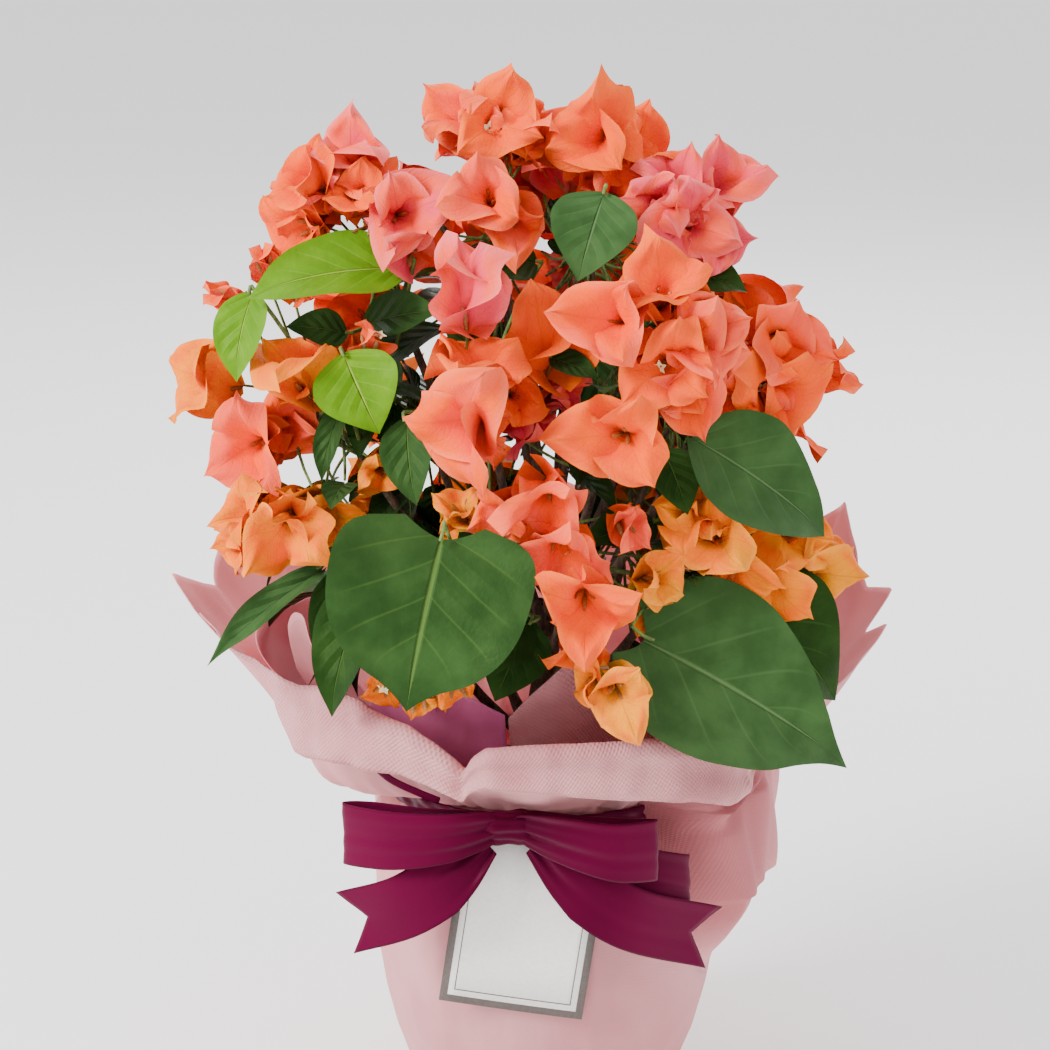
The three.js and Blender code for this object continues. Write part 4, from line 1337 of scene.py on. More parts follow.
    def inner_blooms(self, spray: Spray, ring: list[Bloom], draw: Seeded) -> list[Bloom]:
        """Smaller blooms between the ring's own, which fill a spray and stay within its reach.

        Args:
            spray: The spray.
            ring: The blooms of its ring, or those that hang by a pose.
            draw: The mass's second row of draws.

        Returns:
            The smaller blooms, none where the ring has fewer than three.
        """
        axis = facing(*spray.face)
        made = []
        for k in range(len(ring) if len(ring) > 2 else 0):
            near, far = ring[k], ring[(k + 1) % len(ring)]
            middle = (near.root + far.root) / 2 - axis * draw.between(2, 9)
            out = middle - np.array(spray.at, float)
            lean = unit(axis + out * draw.between(0.01, 0.04) + vec(0, 0, draw.between(-0.2, 0.3)))
            size = spray.size * draw.between(0.66, 0.88)
            made.append(Bloom(middle, lean, size, spray.open * 0.8, draw() * DRAWN_TURN, far.tint))
        return made

    def fillers_of(self, mass: Mass, draw: Seeded) -> list[Filler]:
        """The leaves that the rule sets round the heart of a mass, in a spiral.

        Args:
            mass: The mass.
            draw: Its first row of draws.

        Returns:
            The leaves.
        """
        heart = np.array(mass.heart, float)
        outward = unit(heart * LEVEL)
        side = vec(-outward[1], outward[0], 0)
        start = draw() * TURN
        made = []
        for k in range(mass.filler * 9):
            turn = start + k * GOLDEN
            reach = 0.1 + 0.9 * draw()
            out = unit(outward * reach + side * math.cos(turn) + vec(0, 0, math.sin(turn) * 0.8))
            length = draw.between(30, 56)
            base = heart + out * draw.between(18, 46)
            tip = base + out * length + vec(0, 0, -length * 0.3)
            made.append(Filler(base, tip, length * 0.68, vec(out[0], out[1], 1.2)))
        return made

    def placed_leaf(self, leaf: LeafPlace, draw: Seeded) -> None:
        """A leaf with a place of its own, which what grows later keeps clear of.

        Args:
            leaf: The leaf.
            draw: The row of draws that waves its margin.
        """
        base, tip = np.array(leaf.base, float), np.array(leaf.tip, float)
        phase, wave = draw() * DRAWN_TURN, draw.between(0.012, 0.026)
        blade = Blade(base, tip, leaf.width, facing(*leaf.face), leaf.outline, phase, wave)
        points = blade.points(1.0, 30, 16)
        self.blades[leaf.green].grid(points)
        self.fence.append(tree_of(points))

    def filler_leaf(self, leaf: Filler, scale: float, green: Green, draw: Seeded) -> None:
        """A leaf that fills, at the largest of three sizes that stays clear of leaves and bracts.

        Args:
            leaf: The leaf.
            scale: The share of its length and width that it is meant to reach.
            green: Its green.
            draw: The mass's second row of draws.
        """
        phase, wave = draw() * DRAWN_TURN, draw.between(0.012, 0.026)
        end = leaf.base + (leaf.tip - leaf.base) * scale
        blade = Blade(leaf.base, end, leaf.width * scale, leaf.face, Outline.LANCE, phase, wave)
        for size in (1.0, 0.8, 0.62):
            points = blade.points(size, 12, 8)
            if not touches(self.fence + self.hedge, tree_of(points)):
                self.blades[green].grid(points)
                break

    def bract(self, bloom: Bloom, out: Array, draw: Seeded, share: float) -> Array:
        """A bract: a broad papery blade, keeled and cupped at its foot, with a wavy rim and a small point.

        Args:
            bloom: The bloom that it belongs to.
            out: The direction across the bloom's axis in which it stands.
            draw: The row of draws that bends it.
            share: The share of its full size that it reaches.

        Returns:
            The grid of its blade in mm.
        """
        size = bloom.size * draw.between(0.92, 1.12) * share
        t = np.linspace(0, 1, 18)[:, None]
        s = np.linspace(-1, 1, 15)[None, :]
        curl = math.radians(draw.between(-25, 80) * min(1.0, bloom.open / 36))
        lean = math.radians(bloom.open) * draw.between(0.62, 1.25) * (0.35 + 0.75 * t)
        lean = lean + curl * np.clip((t - 0.5) / 0.5, 0, 1) ** 1.6
        along = bloom.axis * np.cos(lean)[..., None] + out * np.sin(lean)[..., None]
        steps = np.vstack((np.zeros((1, 1, 3)), (along[1:] + along[:-1]) / 2))
        centre = np.cumsum(steps, axis=0) * size / (len(t) - 1)
        face = bloom.axis * np.sin(lean)[..., None] - out * np.cos(lean)[..., None]
        side = np.cross(along, face)
        half = spread_of(t, BRACT_STOPS, BRACT_WIDTHS) * size * draw.between(0.38, 0.46)
        phase = np.where(s < 0, draw() * DRAWN_TURN, draw() * DRAWN_TURN)
        beat = np.where(s < 0, draw.between(6, 10.5), draw.between(6, 10.5))
        ruffle = draw.between(0.1, 0.23) * size * np.abs(s) ** 1.5 * np.sin(beat * t + phase)
        keel = draw.between(0.08, 0.36) * size * np.abs(s) ** 1.2 * (1 - 0.7 * t)
        cup = 0.16 * size * s**2 * np.clip(1 - t / 0.7, 0, 1) ** 0.9
        flare = -draw.between(0.1, 0.42) * size * s**2 * np.clip((t - 0.25) / 0.75, 0, 1)
        roll = draw.between(-0.14, 0.14) * size * s * np.sin(2.4 * t)
        pucker = 0.034 * size * np.sin(6 * s + 4 * t + 3) * np.sin(9 * t - 2.5 * s + phase[0, 0])
        lift = cup + keel + flare + roll + pucker + ruffle * np.sin(math.pi * np.clip(t * 0.9 + 0.1, 0, 1))
        narrow = 1 - 0.3 * np.clip(np.abs(lift) / size, 0, 1)
        sway = draw.between(-0.16, 0.16) * size * t**2
        return bloom.root + centre + side * (s * half * narrow + sway)[..., None] + face * lift[..., None]

    def open_bloom(self, bloom: Bloom, draw: Seeded) -> None:
        """Three bracts round a bloom's axis, each smaller at a new try until it clears the leaves.

        Args:
            bloom: The bloom.
            draw: The row of draws that bends its bracts.
        """
        self.blooms.append(bloom)
        for out in bloom.ways():
            for attempt in range(6):
                points = self.bract(bloom, out, draw, 1 - 0.08 * attempt)
                tree = tree_of(points)
                if not touches(self.fence, tree):
                    self.papers[bloom.tint].grid(points)
                    self.hedge.append(tree)
                    break

    def fork_of(self, mass: Mass) -> Array:
        """Where a mass's short stem forks."""
        line = self.bough_line(mass) if mass.start else self.trunk_line()
        return np.array(mass.heart, float) + unit(line[-1] - line[-2]) * self.stem

    def grow_frame(self, index: int, mass: Mass) -> None:
        """One mass's stem, branches and the leaves with a place of their own.

        Args:
            index: The mass's number, which gives its seed.
            mass: The mass.
        """
        draw = Seeded(self.frame_seed * (1 + index))
        fork = self.fork_of(mass)
        self.wood.add(np.array([mass.heart, fork], float), *self.stem_wide)
        for spray in mass.sprays:
            self.stalk(fork, spray.hub(), self.branch_wide, draw, woody=spray.blooms > 2)
        for leaf in mass.leaves:
            base = np.array(leaf.base, float)
            way = np.array(leaf.tip) - base
            knee = base + way * -0.09
            self.stalk(fork, knee, self.leaf_branch_wide, draw)
            self.stalk(knee, base + way * 0.02, self.leaf_stalk_wide, draw)
            self.placed_leaf(leaf, draw)

    def grow_blooms(self, index: int, mass: Mass) -> tuple[Seeded, Seeded]:
        """One mass's blooms and buds, each on its stalk.

        Args:
            index: The mass's number, which gives its seeds.
            mass: The mass.

        Returns:
            The mass's two rows of draws, which its leaves go on with.
        """
        draw, own = Seeded(self.ring_seed * (1 + index)), Seeded(self.own_seed * (1 + index))
        fork = self.fork_of(mass)
        for spray in mass.sprays:
            hub = spray.hub()
            length = float(np.linalg.norm(fork - hub))
            # The rule's ring is drawn for every spray, so that the draws after it stay the same
            ring = [self.swayed(bloom, own) for bloom in self.ring_of(spray, draw)]
            ring = [pose.bloom() for pose in spray.poses] or ring
            inner = self.inner_blooms(spray, ring, own) if mass.full else []
            for step, bloom in enumerate(ring + inner):
                start = hub + (fork - hub) * min(0.9, (0.5 + self.step * step) / length)
                self.stalk(start, bloom.root + bloom.axis, self.bloom_stalk_wide, own)
                self.open_bloom(bloom, own)
        for pose in mass.buds:
            bloom = pose.bloom()
            self.stalk(fork + (mass.sprays[0].hub() - fork) * 0.5, bloom.root, self.fine_stalk_wide, own)
            self.open_bloom(bloom, own)
        return draw, own

    def grow_fillers(self, mass: Mass, draw: Seeded, own: Seeded) -> None:
        """One mass's leaves round the heart, but for those in front of the low blooms.

        Args:
            mass: The mass.
            draw: The mass's first row of draws, which places them.
            own: Its second row, which sizes, bends and colours them.
        """
        fork = self.fork_of(mass)
        way = mass.sprays[0].hub() - fork
        for k, leaf in enumerate(self.fillers_of(mass, draw)):
            x, y, z = leaf.tip
            in_front = y < -40 and z < 222 and -10 < x < 60
            if (k % 3 == 0 or k < mass.filler * 2) and not in_front:
                start = fork + way * own.between(0.1, 0.8)
                scale = own.between(0.6, 0.95)
                self.stalk(start, leaf.base, self.fine_stalk_wide, own)
                self.filler_leaf(leaf, scale, DEEP if own() < 0.5 else MID, own)

    def grow(self) -> None:
        """All the masses, in the source's order: first what has a place, then what fills."""
        for index, mass in enumerate(self.masses.values()):
            self.grow_frame(index, mass)
        draws = [self.grow_blooms(index, mass) for index, mass in enumerate(self.masses.values())]
        for mass, (draw, own) in zip(self.masses.values(), draws):
            self.grow_fillers(mass, draw, own)

    def build(self) -> None:
        """Makes the pieces: limbs, twigs, leaves and bracts, each kind apart."""
        boughs = [f"bough_of_{name}" for name, mass in self.masses.items() if mass.start]
        set_down(self.grow_limbs().build("limbs", BARK.make()), "bark", "trunk", *boughs)
        self.grow()
        set_down(self.wood.build("twigs_woody", BARK.make(), 8), "bark")
        set_down(self.green.build("twigs_green", GREEN_STEM.make(), 6), "bark")
        for green, blades in self.blades.items():
            piece = blades.build(f"leaves_{green.name.lower()}", green.value.make())
            set_down(piece, "leaves", *(["leaf_front"] if green is MID else []))
        # The coral bracts stand for the masses of blooms, and the golden ones for the sprays
        kinds = {CORAL: "bloom", GOLD: "spray"}
        for tint, papers in self.papers.items():
            piece = papers.build(f"bracts_{tint.name.lower()}", tint.value.make())
            nodes = [n for n in self.masses if tint in kinds and n.startswith(kinds[tint])]
            set_down(piece, "golden_bracts" if tint in (GOLD, AMBER) else "coral_bracts", *nodes)


@dataclass
class Flowers:
    """The small true flowers in the blooms: a tube in each, and a star on those that are open."""

    tube: float = 1.15
    star: float = 3.4
    height: float = 13.2
    open_share: float = 0.06

    def tube_shape(self) -> Piece:
        """A flower's tube along +Z, swollen in its upper half.

        Returns:
            The shape.
        """
        turn = np.linspace(0, TURN, 11)
        wide = self.tube
        profile = [(0.3, 0.0), (wide * 0.75, 2.0), (wide, 7.5), (wide * 0.8, 11.5), (0.1, 13.5)]
        return Patches().grid(np.array([around(turn, r, z) for r, z in profile])).build("tube")

    def star_shape(self) -> Piece:
        """The star of five points that stands on an open flower's tube."""
        turn = np.linspace(0, TURN, 11)
        radius = np.where(np.arange(11) % 2 == 0, self.star, self.star * 0.52)
        return Patches().grid(np.array([around(turn, 0.5, -0.6), around(turn, radius, 0.7)])).build("star")

    def spread(
        self, name: str, places: list[tuple[Array, Array]], shape: Piece, dress: bpy.types.Material
    ) -> None:
        """Sets a shape on points by Geometry Nodes, each turned along its own direction.

        Args:
            name: The piece's name.
            places: A point in mm and a direction for each.
            shape: The shape, which is removed afterwards.
            dress: The material.
        """
        made = put_mesh(name, [p * MM for p, _ in places], [], [])
        layer = made.data.attributes.new("heading", "FLOAT_VECTOR", "POINT")
        layer.data.foreach_set("vector", np.array([d for _, d in places]).ravel())
        tree = NodeTree(name + "_spread")
        scale = tree.size("Scale", 1.0)
        source = tree.add("GeometryNodeObjectInfo", {"Object": shape})
        heading = tree.add("GeometryNodeInputNamedAttribute", {"Name": "heading"}, data_type="FLOAT_VECTOR")
        inputs = {"Vector": heading.outputs["Attribute"]}
        turn = tree.add("FunctionNodeAlignRotationToVector", inputs, axis="Z")
        points = tree.add("GeometryNodeMeshToPoints", {"Mesh": tree.given()})
        inputs = {
            "Points": points.outputs[0],
            "Instance": source.outputs["Geometry"],
            "Rotation": turn.outputs[0],
            "Scale": scale,
        }
        tree.run(made, tree.add("GeometryNodeInstanceOnPoints", inputs).outputs[0], dress)
        bpy.data.objects.remove(shape)
        set_down(made, "golden_bracts")

    def build(self, blooms: list[Bloom]) -> None:
        """Makes the tubes of all blooms and the stars of some.

        Args:
            blooms: The blooms.
        """
        draw = Seeded(4242)
        tubes, stars = [], []
        for bloom in blooms:
            for out in bloom.ways():
                heading = unit(bloom.axis + out * draw.between(0.12, 0.34))
                foot = bloom.root + out * 0.8
                tubes.append((foot, heading))
                if draw() < self.open_share:
                    stars.append((foot + heading * self.height, heading))
        self.spread("flower_tubes", tubes, self.tube_shape(), TUBE_SKIN.make())
        self.spread("flower_stars", stars, self.star_shape(), STAR_CREAM.make())


# The pot, the wrap and what ties it


@dataclass
class Planting:
    """The plastic pot and the mix in it, which the wrap hides but for a look from above."""

    soil_radius: float = 64.0
    trunk_foot: float = 13.0
    crumb: float = 1.5
    per_square_metre: float = 160000.0

    def build(self) -> None:
        """Dresses the pot and the soil, and strews crumbs over the soil by Geometry Nodes."""
        for node, finish in (("pot", POT_PLASTIC), ("soil", POTTING_MIX)):
            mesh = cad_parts[node].data
            mesh.materials.clear()
            mesh.materials.append(finish.make())
        radius = np.linspace(self.trunk_foot, self.soil_radius - 4, 5)[:, None]
        turn = np.linspace(0, TURN, 37)[None, :]
        piece = Patches().grid(around(turn, radius, SOIL_TOP)).build("soil_crumbs")
        tree = NodeTree("crumbs")
        size = tree.size("Crumb", self.crumb * MM)
        dense = tree.size("Density", self.per_square_metre)
        seed = tree.size("Seed", 7, "NodeSocketInt")
        inputs = {"Mesh": tree.given(), "Density": dense, "Seed": seed}
        spots = tree.add("GeometryNodeDistributePointsOnFaces", inputs)
        ball = tree.add("GeometryNodeMeshIcoSphere", {"Radius": size, "Subdivisions": 1})
        # Each crumb is turned at random about all axes and scaled along each
        inputs = {"Max": (6.3, 6.3, 6.3)}
        angles = tree.add("FunctionNodeRandomValue", inputs, data_type="FLOAT_VECTOR")
        inputs = {"Min": (0.4, 0.3, 0.2), "Max": (1.5, 1.1, 0.8), "Seed": 3}
        sizes = tree.add("FunctionNodeRandomValue", inputs, data_type="FLOAT_VECTOR")
        inputs = {
            "Points": spots.outputs["Points"],
            "Instance": ball.outputs["Mesh"],
            "Rotation": tree.add("FunctionNodeEulerToRotation", {"Euler": angles.outputs[0]}).outputs[0],
            "Scale": sizes.outputs[0],
        }
        copies = tree.add("GeometryNodeInstanceOnPoints", inputs)
        set_down(tree.run(piece, copies.outputs[0], POTTING_MIX.make()), "soil")


@dataclass
class Wrap:
    """The non-woven wrap: a cup round the pot, a gathered neck, and a collar with a turned cuff."""

    foot: float = 57.0
    tie: float = 70.0
    tie_height: float = 158.0
    under_band: float = 70.8
    collar_length: float = 125.0
    columns: int = 480
    cup_steps: int = 64
    collar_steps: int = 34
    # The angles in degrees at which the sheet starts and the cuff ends
    seam: float = -171.0
    cuff_end: float = -34.5
    # How deep the gathers are, how far the cuff rolls over, how far the cloth bags and how high up
    gathered: float = 1.35
    roll: float = 7.5
    bag: float = 19.0
    bag_at: float = 0.16
    # The flap's angles in degrees, and the rows of the body that it hangs over
    flap_span: tuple[float, float] = (-68.0, 52.0)
    flap_over: tuple[int, int] = (34, 81)
    # The radius in mm that gives the sheet its map across, and the size of the flap's map in metres
    girth_radius: float = 100.0
    flap_map: float = 0.11
    # Angle in degrees from +X, radius and height of the rim, and the cuff's drop
    rim: tuple[tuple[float, float, float, float], ...] = (
        (-171, 156, 236, 0), (-168, 150, 231.5, 0), (-162, 144, 226, 1), (-156.5, 138.5, 223.5, 3),
        (-153.5, 135.5, 221.5, 5), (-151, 133, 220, 11), (-148, 130.5, 218, 19), (-144.5, 128, 217.5, 28),
        (-141.5, 126, 218.7, 31), (-138, 124.5, 220, 31), (-130, 123, 217, 27), (-119, 118.5, 209, 19),
        (-110, 114.5, 196, 14), (-107.5, 112, 190, 12),
        (-105.5, 115, 197, 13), (-102, 117, 203, 15), (-90, 118, 206, 19), (-80, 118, 206, 22),
        (-60, 117, 204, 27), (-50, 115, 196, 26), (-44, 112, 188, 18), (-38, 110, 180, 6),
        (-35, 113, 184, 0), (-22, 140, 214, 0), (-11, 156, 233, 0), (-7, 146, 224, 0),
        (-3, 157, 243, 0), (4, 147, 238, 0), (9, 146, 242, 0), (20, 149, 268, 0), (28, 145, 254, 0),
        (38, 140, 238, 0), (58, 134, 228, 0), (80, 138, 250, 0), (94, 144, 262, 0),
        (108, 136, 238, 0), (119, 133, 228, 0), (134, 146, 250, 0), (143, 154, 263, 0),
        (150, 155, 267, 0), (155, 155, 264, 0), (160, 157, 258, 0), (165, 157, 250, 0), (169, 155, 244, 0),
        (174, 150, 237, 0), (180, 155, 243, 0), (187, 168, 254, 0), (189, 156, 236, 0),
    )  # fmt: skip

    def rim_at(self, degrees: Array) -> tuple[Array, Array, Array]:
        """The rim's radius, height and cuff drop at angles in degrees.

        Args:
            degrees: The angles.

        Returns:
            The three measures in mm.
        """
        table = np.array(self.rim)
        fine = np.linspace(self.seam, self.seam + 360, 1441)
        kernel = np.hanning(9)[1:-1]
        kernel /= kernel.sum()
        found = []
        for column in (1, 2, 3):
            values = np.interp(fine, table[:, 0], table[:, column])
            values = np.convolve(np.pad(values, 3, mode="wrap"), kernel, mode="valid")
            found.append(np.interp(degrees, fine, values))
        return found[0], found[1], found[2]

    def gathers(self, angle: Array, near: Value) -> Array:
        """The folds of the cloth where the ribbon gathers it, strongest at the neck.

        Args:
            angle: The angles in radians.
            near: How strong the folds are.

        Returns:
            How far the cloth stands out in mm.
        """
        folds = (
            np.sin(17 * angle + 0.6) + 0.7 * np.sin(29 * angle + 2.1) + 0.5 * np.sin(41 * angle + 4.0)
            + 0.35 * np.sin(67 * angle)
        )
        return folds * near

    def cup_rows(self, angle: Array) -> tuple[list[Array], list[float]]:
        """Rows of points from the middle of the underside up to the ribbon.

        Args:
            angle: The angles of the columns in radians.

        Returns:
            The rows, and how far along the cloth each one lies in mm.
        """
        outline = [
            (0.5, 0.3), (self.foot * 0.5, 0.3), (self.foot - 3, 0.3), (self.foot - 0.8, 1.0), (self.foot, 3),
            (62, 14), (69.6, 34), (74.5, 54), (77.5, 74), (78, 96), (78.2, 118), (78, 134), (77, 142),
            (74.5, 146), (71.5, 149), (70.6, 153), (self.tie, self.tie_height),
        ]  # fmt: skip
        marks = np.cumsum([0] + [math.dist(a, b) for a, b in zip(outline, outline[1:])])
        steps = np.linspace(0, marks[-1], self.cup_steps)
        radii = np.interp(steps, marks, [p[0] for p in outline])
        heights = np.interp(steps, marks, [p[1] for p in outline])
        degrees = np.degrees(angle)
        rows = []
        for r, z in zip(radii, heights):
            near = self.gathered * math.exp(-(((z - 152) / 15) ** 2)) + 0.12 * min(1.0, z / 40)
            long_fold = 1.5 * bump(degrees + 74, 5) * min(1, z / 30)
            long_fold = long_fold + 1.1 * bump(degrees + 128, 9) * min(1, z / 50)
            soft = 0.9 * np.sin(3 * angle + z / 45) * min(1.0, z / 30)
            out = r + (self.gathers(angle, near) + soft + long_fold if r > self.foot * 0.9 else 0)
            tied = math.exp(-(((z - 154) / 5.2) ** 4))
            rows.append(around(angle, mix(out, np.minimum(out, self.under_band), tied), z))
        return rows, list(steps)

    def body_rows(self, angle: Array) -> tuple[list[Array], list[float]]:
        """Rows of points from the middle of the underside up to the rim.

        Args:
            angle: The angles of the columns in radians.

        Returns:
            The rows, and how far along the cloth each one lies in mm.
        """
        rows, marks = self.cup_rows(angle)
        end = marks[-1]
        radius, height, _ = self.rim_at(np.degrees(angle))
        # On the left the cloth bags over the ribbon
        loose = bump((np.degrees(angle) + 345) % 360 - 180, 26)
        for t in np.linspace(0, 1, self.collar_steps)[1:]:
            out = mix(t, math.sin(t * math.pi / 2), 0.35 * (1 - loose))
            near = self.gathered * math.exp(-((t / 0.22) ** 2)) + 0.55 * t
            wave = self.gathers(angle * 0.37 + 1.0, 2.2 * math.sin(t * math.pi) + 0.5 * t)
            r = self.tie + (radius - self.tie) * out + self.gathers(angle, near) + wave
            z = self.tie_height + (height - self.tie_height) * mix(t, t * t, 0.25)
            bag = self.bag * loose * t / self.bag_at * math.exp(1 - t / self.bag_at)
            rows.append(around(angle, r + bag, z - 0.37 * bag))
            marks.append(end + t * self.collar_length)
        return rows, marks

    def cuff_rows(self, rim: Array, drop: Array) -> list[Array]:
        """Rows of the cuff, which rolls over the rim and hangs down on the outside.

        Args:
            rim: The points of the rim.
            drop: How far the cuff hangs down at each of them.

        Returns:
            The rows.
        """
        out_way = unit(rim * LEVEL)
        # At its left end the cuff hangs close under the rim
        degrees = np.degrees(np.arctan2(rim[:, 1], rim[:, 0]))
        loose = np.interp(degrees, (-153, -144, -128), (0.05, 0.65, 1))[:, None]
        share = np.clip(drop / 14, 0, 1)[:, None]
        rows = []
        for q in np.linspace(0, 1, 14):
            roll = self.roll * math.sin(min(1.0, q * 2.6) * math.pi / 2) + 1.2 * math.sin(q * 9)
            down = max(0.0, q - 0.06) / 0.94
            rise = 1.6 * math.sin(min(1, q * 5) * math.pi) * share
            fall = UP * (drop * down**1.1)[:, None]
            rows.append(rim + out_way * (roll * loose) * share - fall + UP * rise)
        return rows

    def flap_rows(self) -> Array:
        """The bulge of cloth on the right that hangs over the ribbon and is tucked in below it.

        Returns:
            The grid of the bulge.
        """
        degrees = np.linspace(*self.flap_span, 140)
        rows, _ = self.body_rows(np.radians(degrees))
        under = np.array(rows)[slice(*self.flap_over)]
        share = np.linspace(0, 1, len(under))[:, None]
        near = np.linalg.norm(under[..., :2], axis=-1)
        hang = smooth_curve(
            [(70, 0), (76.5, 0.07), (89, 0.17), (99, 0.3), (104.5, 0.47), (104.5, 0.66), (102, 0.82)], 60
        )
        wide = np.interp(share, hang[:, 1], hang[:, 0])
        wide = np.where(share > 0.82, mix(wide, near[-1][None, :], (share - 0.82) / 0.18), wide)
        left = degrees[None, :] - (-60 + 32 * (1 - share) ** 2)
        bulge = np.clip(left / 17, 0, 1) * np.clip((50 - degrees[None, :]) / 48, 0, 1)
        bulge = bulge * bulge * (3 - 2 * bulge)
        folds = 1.7 * np.sin(0.3 * left + 6 * share) + 1.1 * np.sin(0.55 * left - 8 * share + 1)
        ridge = 3.4 * bump(left - 11, 4.5) - 2.6 * bump(left - 22, 6) * share
        edge = np.clip(np.minimum(share, 1 - share) * 14, 0, 1)
        out = near - 0.5 + 1.1 * bulge * edge + np.maximum(0, wide - near) * bulge
        # A slanting fold that runs down to the left from the cuff's end
        off = (degrees[None, :] + 40) / 8.1 - (share - 0.66) / 0.08
        slant = (5 * bump(off, 0.5) - 6 * bump(off - 1.1, 0.6)) * bump(share - 0.67, 0.1)
        out = out + (folds + ridge) * bulge * np.sin(share * math.pi) + slant * np.sqrt(bulge)
        return around(np.radians(degrees), out, under[..., 2])

    def build(self) -> None:
        """Makes the wrap as one gathered sheet."""
        angle = np.radians(np.linspace(self.seam, self.seam + 360, self.columns + 1))
        rows, marks = self.body_rows(angle)
        girth = angle * self.girth_radius * MM
        uv = np.stack(np.broadcast_arrays(girth[None, :], np.array(marks)[:, None] * MM), axis=-1)
        cloth = Patches().grid(np.array(rows), uv, 0)
        degrees = np.degrees(angle)
        cuffed = degrees < self.cuff_end
        drop = self.rim_at(degrees)[2][cuffed]
        cuff = np.array(self.cuff_rows(rows[-1][cuffed], drop))
        down = np.linspace(0, 1, len(cuff))[:, None] * drop[None, :] * MM
        uv = np.stack(np.broadcast_arrays(girth[cuffed][None, :] * 1.15, down), axis=-1)
        cloth.grid(cuff, uv, 1)
        flap = self.flap_rows()
        cloth.grid(flap, map_grid(*flap.shape[:2], self.flap_map, self.flap_map), 2)
        piece = cloth.build("wrap", WRAP.make(), WRAP_RIBBED.make(), WRAP_FLAP_SHADED.make())
        thickened(piece, weld=True)
        set_down(piece, "wrap", *(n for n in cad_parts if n.startswith("wrap_")))


@dataclass
class Lining:
    """An inner sheet that stands up inside the collar."""

    name: str
    rim: tuple[Point, ...]
    finish: NonWoven
    slot: str
    flat: tuple[float, float]
    wave: float
    foot: float = 66.5
    foot_height: float = 159.0
    rows: int = 26
    stretches: int = 60

    def build(self) -> None:
        """Makes the sheet from the neck to its rim."""
        curve = smooth_curve(list(self.rim), self.stretches)
        angle = np.radians(curve[:, 0])
        rows = []
        for t in np.linspace(0, 1, self.rows):
            out = mix(t, math.sin(t * math.pi / 2), 0.35)
            ripple = 1.2 * np.sin(angle * 19 + self.wave) * math.exp(-((t / 0.4) ** 2))
            ripple = ripple + 1.6 * np.sin(angle * 6 + self.wave + 2 * t) * t
            r = self.foot + (curve[:, 1] - self.foot) * out + ripple
            z = self.foot_height + (curve[:, 2] - self.foot_height) * mix(t, t * t, 0.25)
            rows.append(around(angle, r, z))
        uv = map_grid(self.rows, self.stretches + 1, self.flat[1], self.flat[0])
        cloth = Patches().grid(np.array(rows), uv)
        piece = thickened(cloth.build(self.name + "_sheet", self.finish.make()))
        set_down(piece, self.slot, *([self.name] if self.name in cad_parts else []))


LININGS = (
    Lining("lining_plum", ((-148, 92, 200), (-135, 97, 220), (-118, 96, 222), (-101, 94, 210)),
           PLUM, "plum_lining", (0.075, 0.065), 0.4),
    Lining("lining_fold_front", ((-100.3, 92, 208), (-92, 91, 222), (-80, 91, 236), (-66, 93, 218),
           (-56, 95, 200)), WRAP_RIBBED, "wrap", (0.066, 0.068), 1.3),
    Lining("lining_fold_left", ((-171, 114, 208), (-168.5, 117, 222), (-166, 118, 232), (-162, 116.5, 239.5),
           (-157, 115, 241), (-153, 114.5, 232), (-149, 111, 216)), WRAP, "wrap", (0.04, 0.09), 2.6),
    # The rose sheet stands where the inside of the collar lies in shade: its rose is painted shade with
    # reflected red light
    Lining("lining_rose", ((163, 112, 229), (170, 120, 228), (177, 127, 226), (184, 131, 222),
           (189, 131, 218), (195, 128, 213), (201, 121, 206)), WRAP_PAINTED_SHADE, "wrap", (0.08, 0.095), 0.9),
)  # fmt: skip


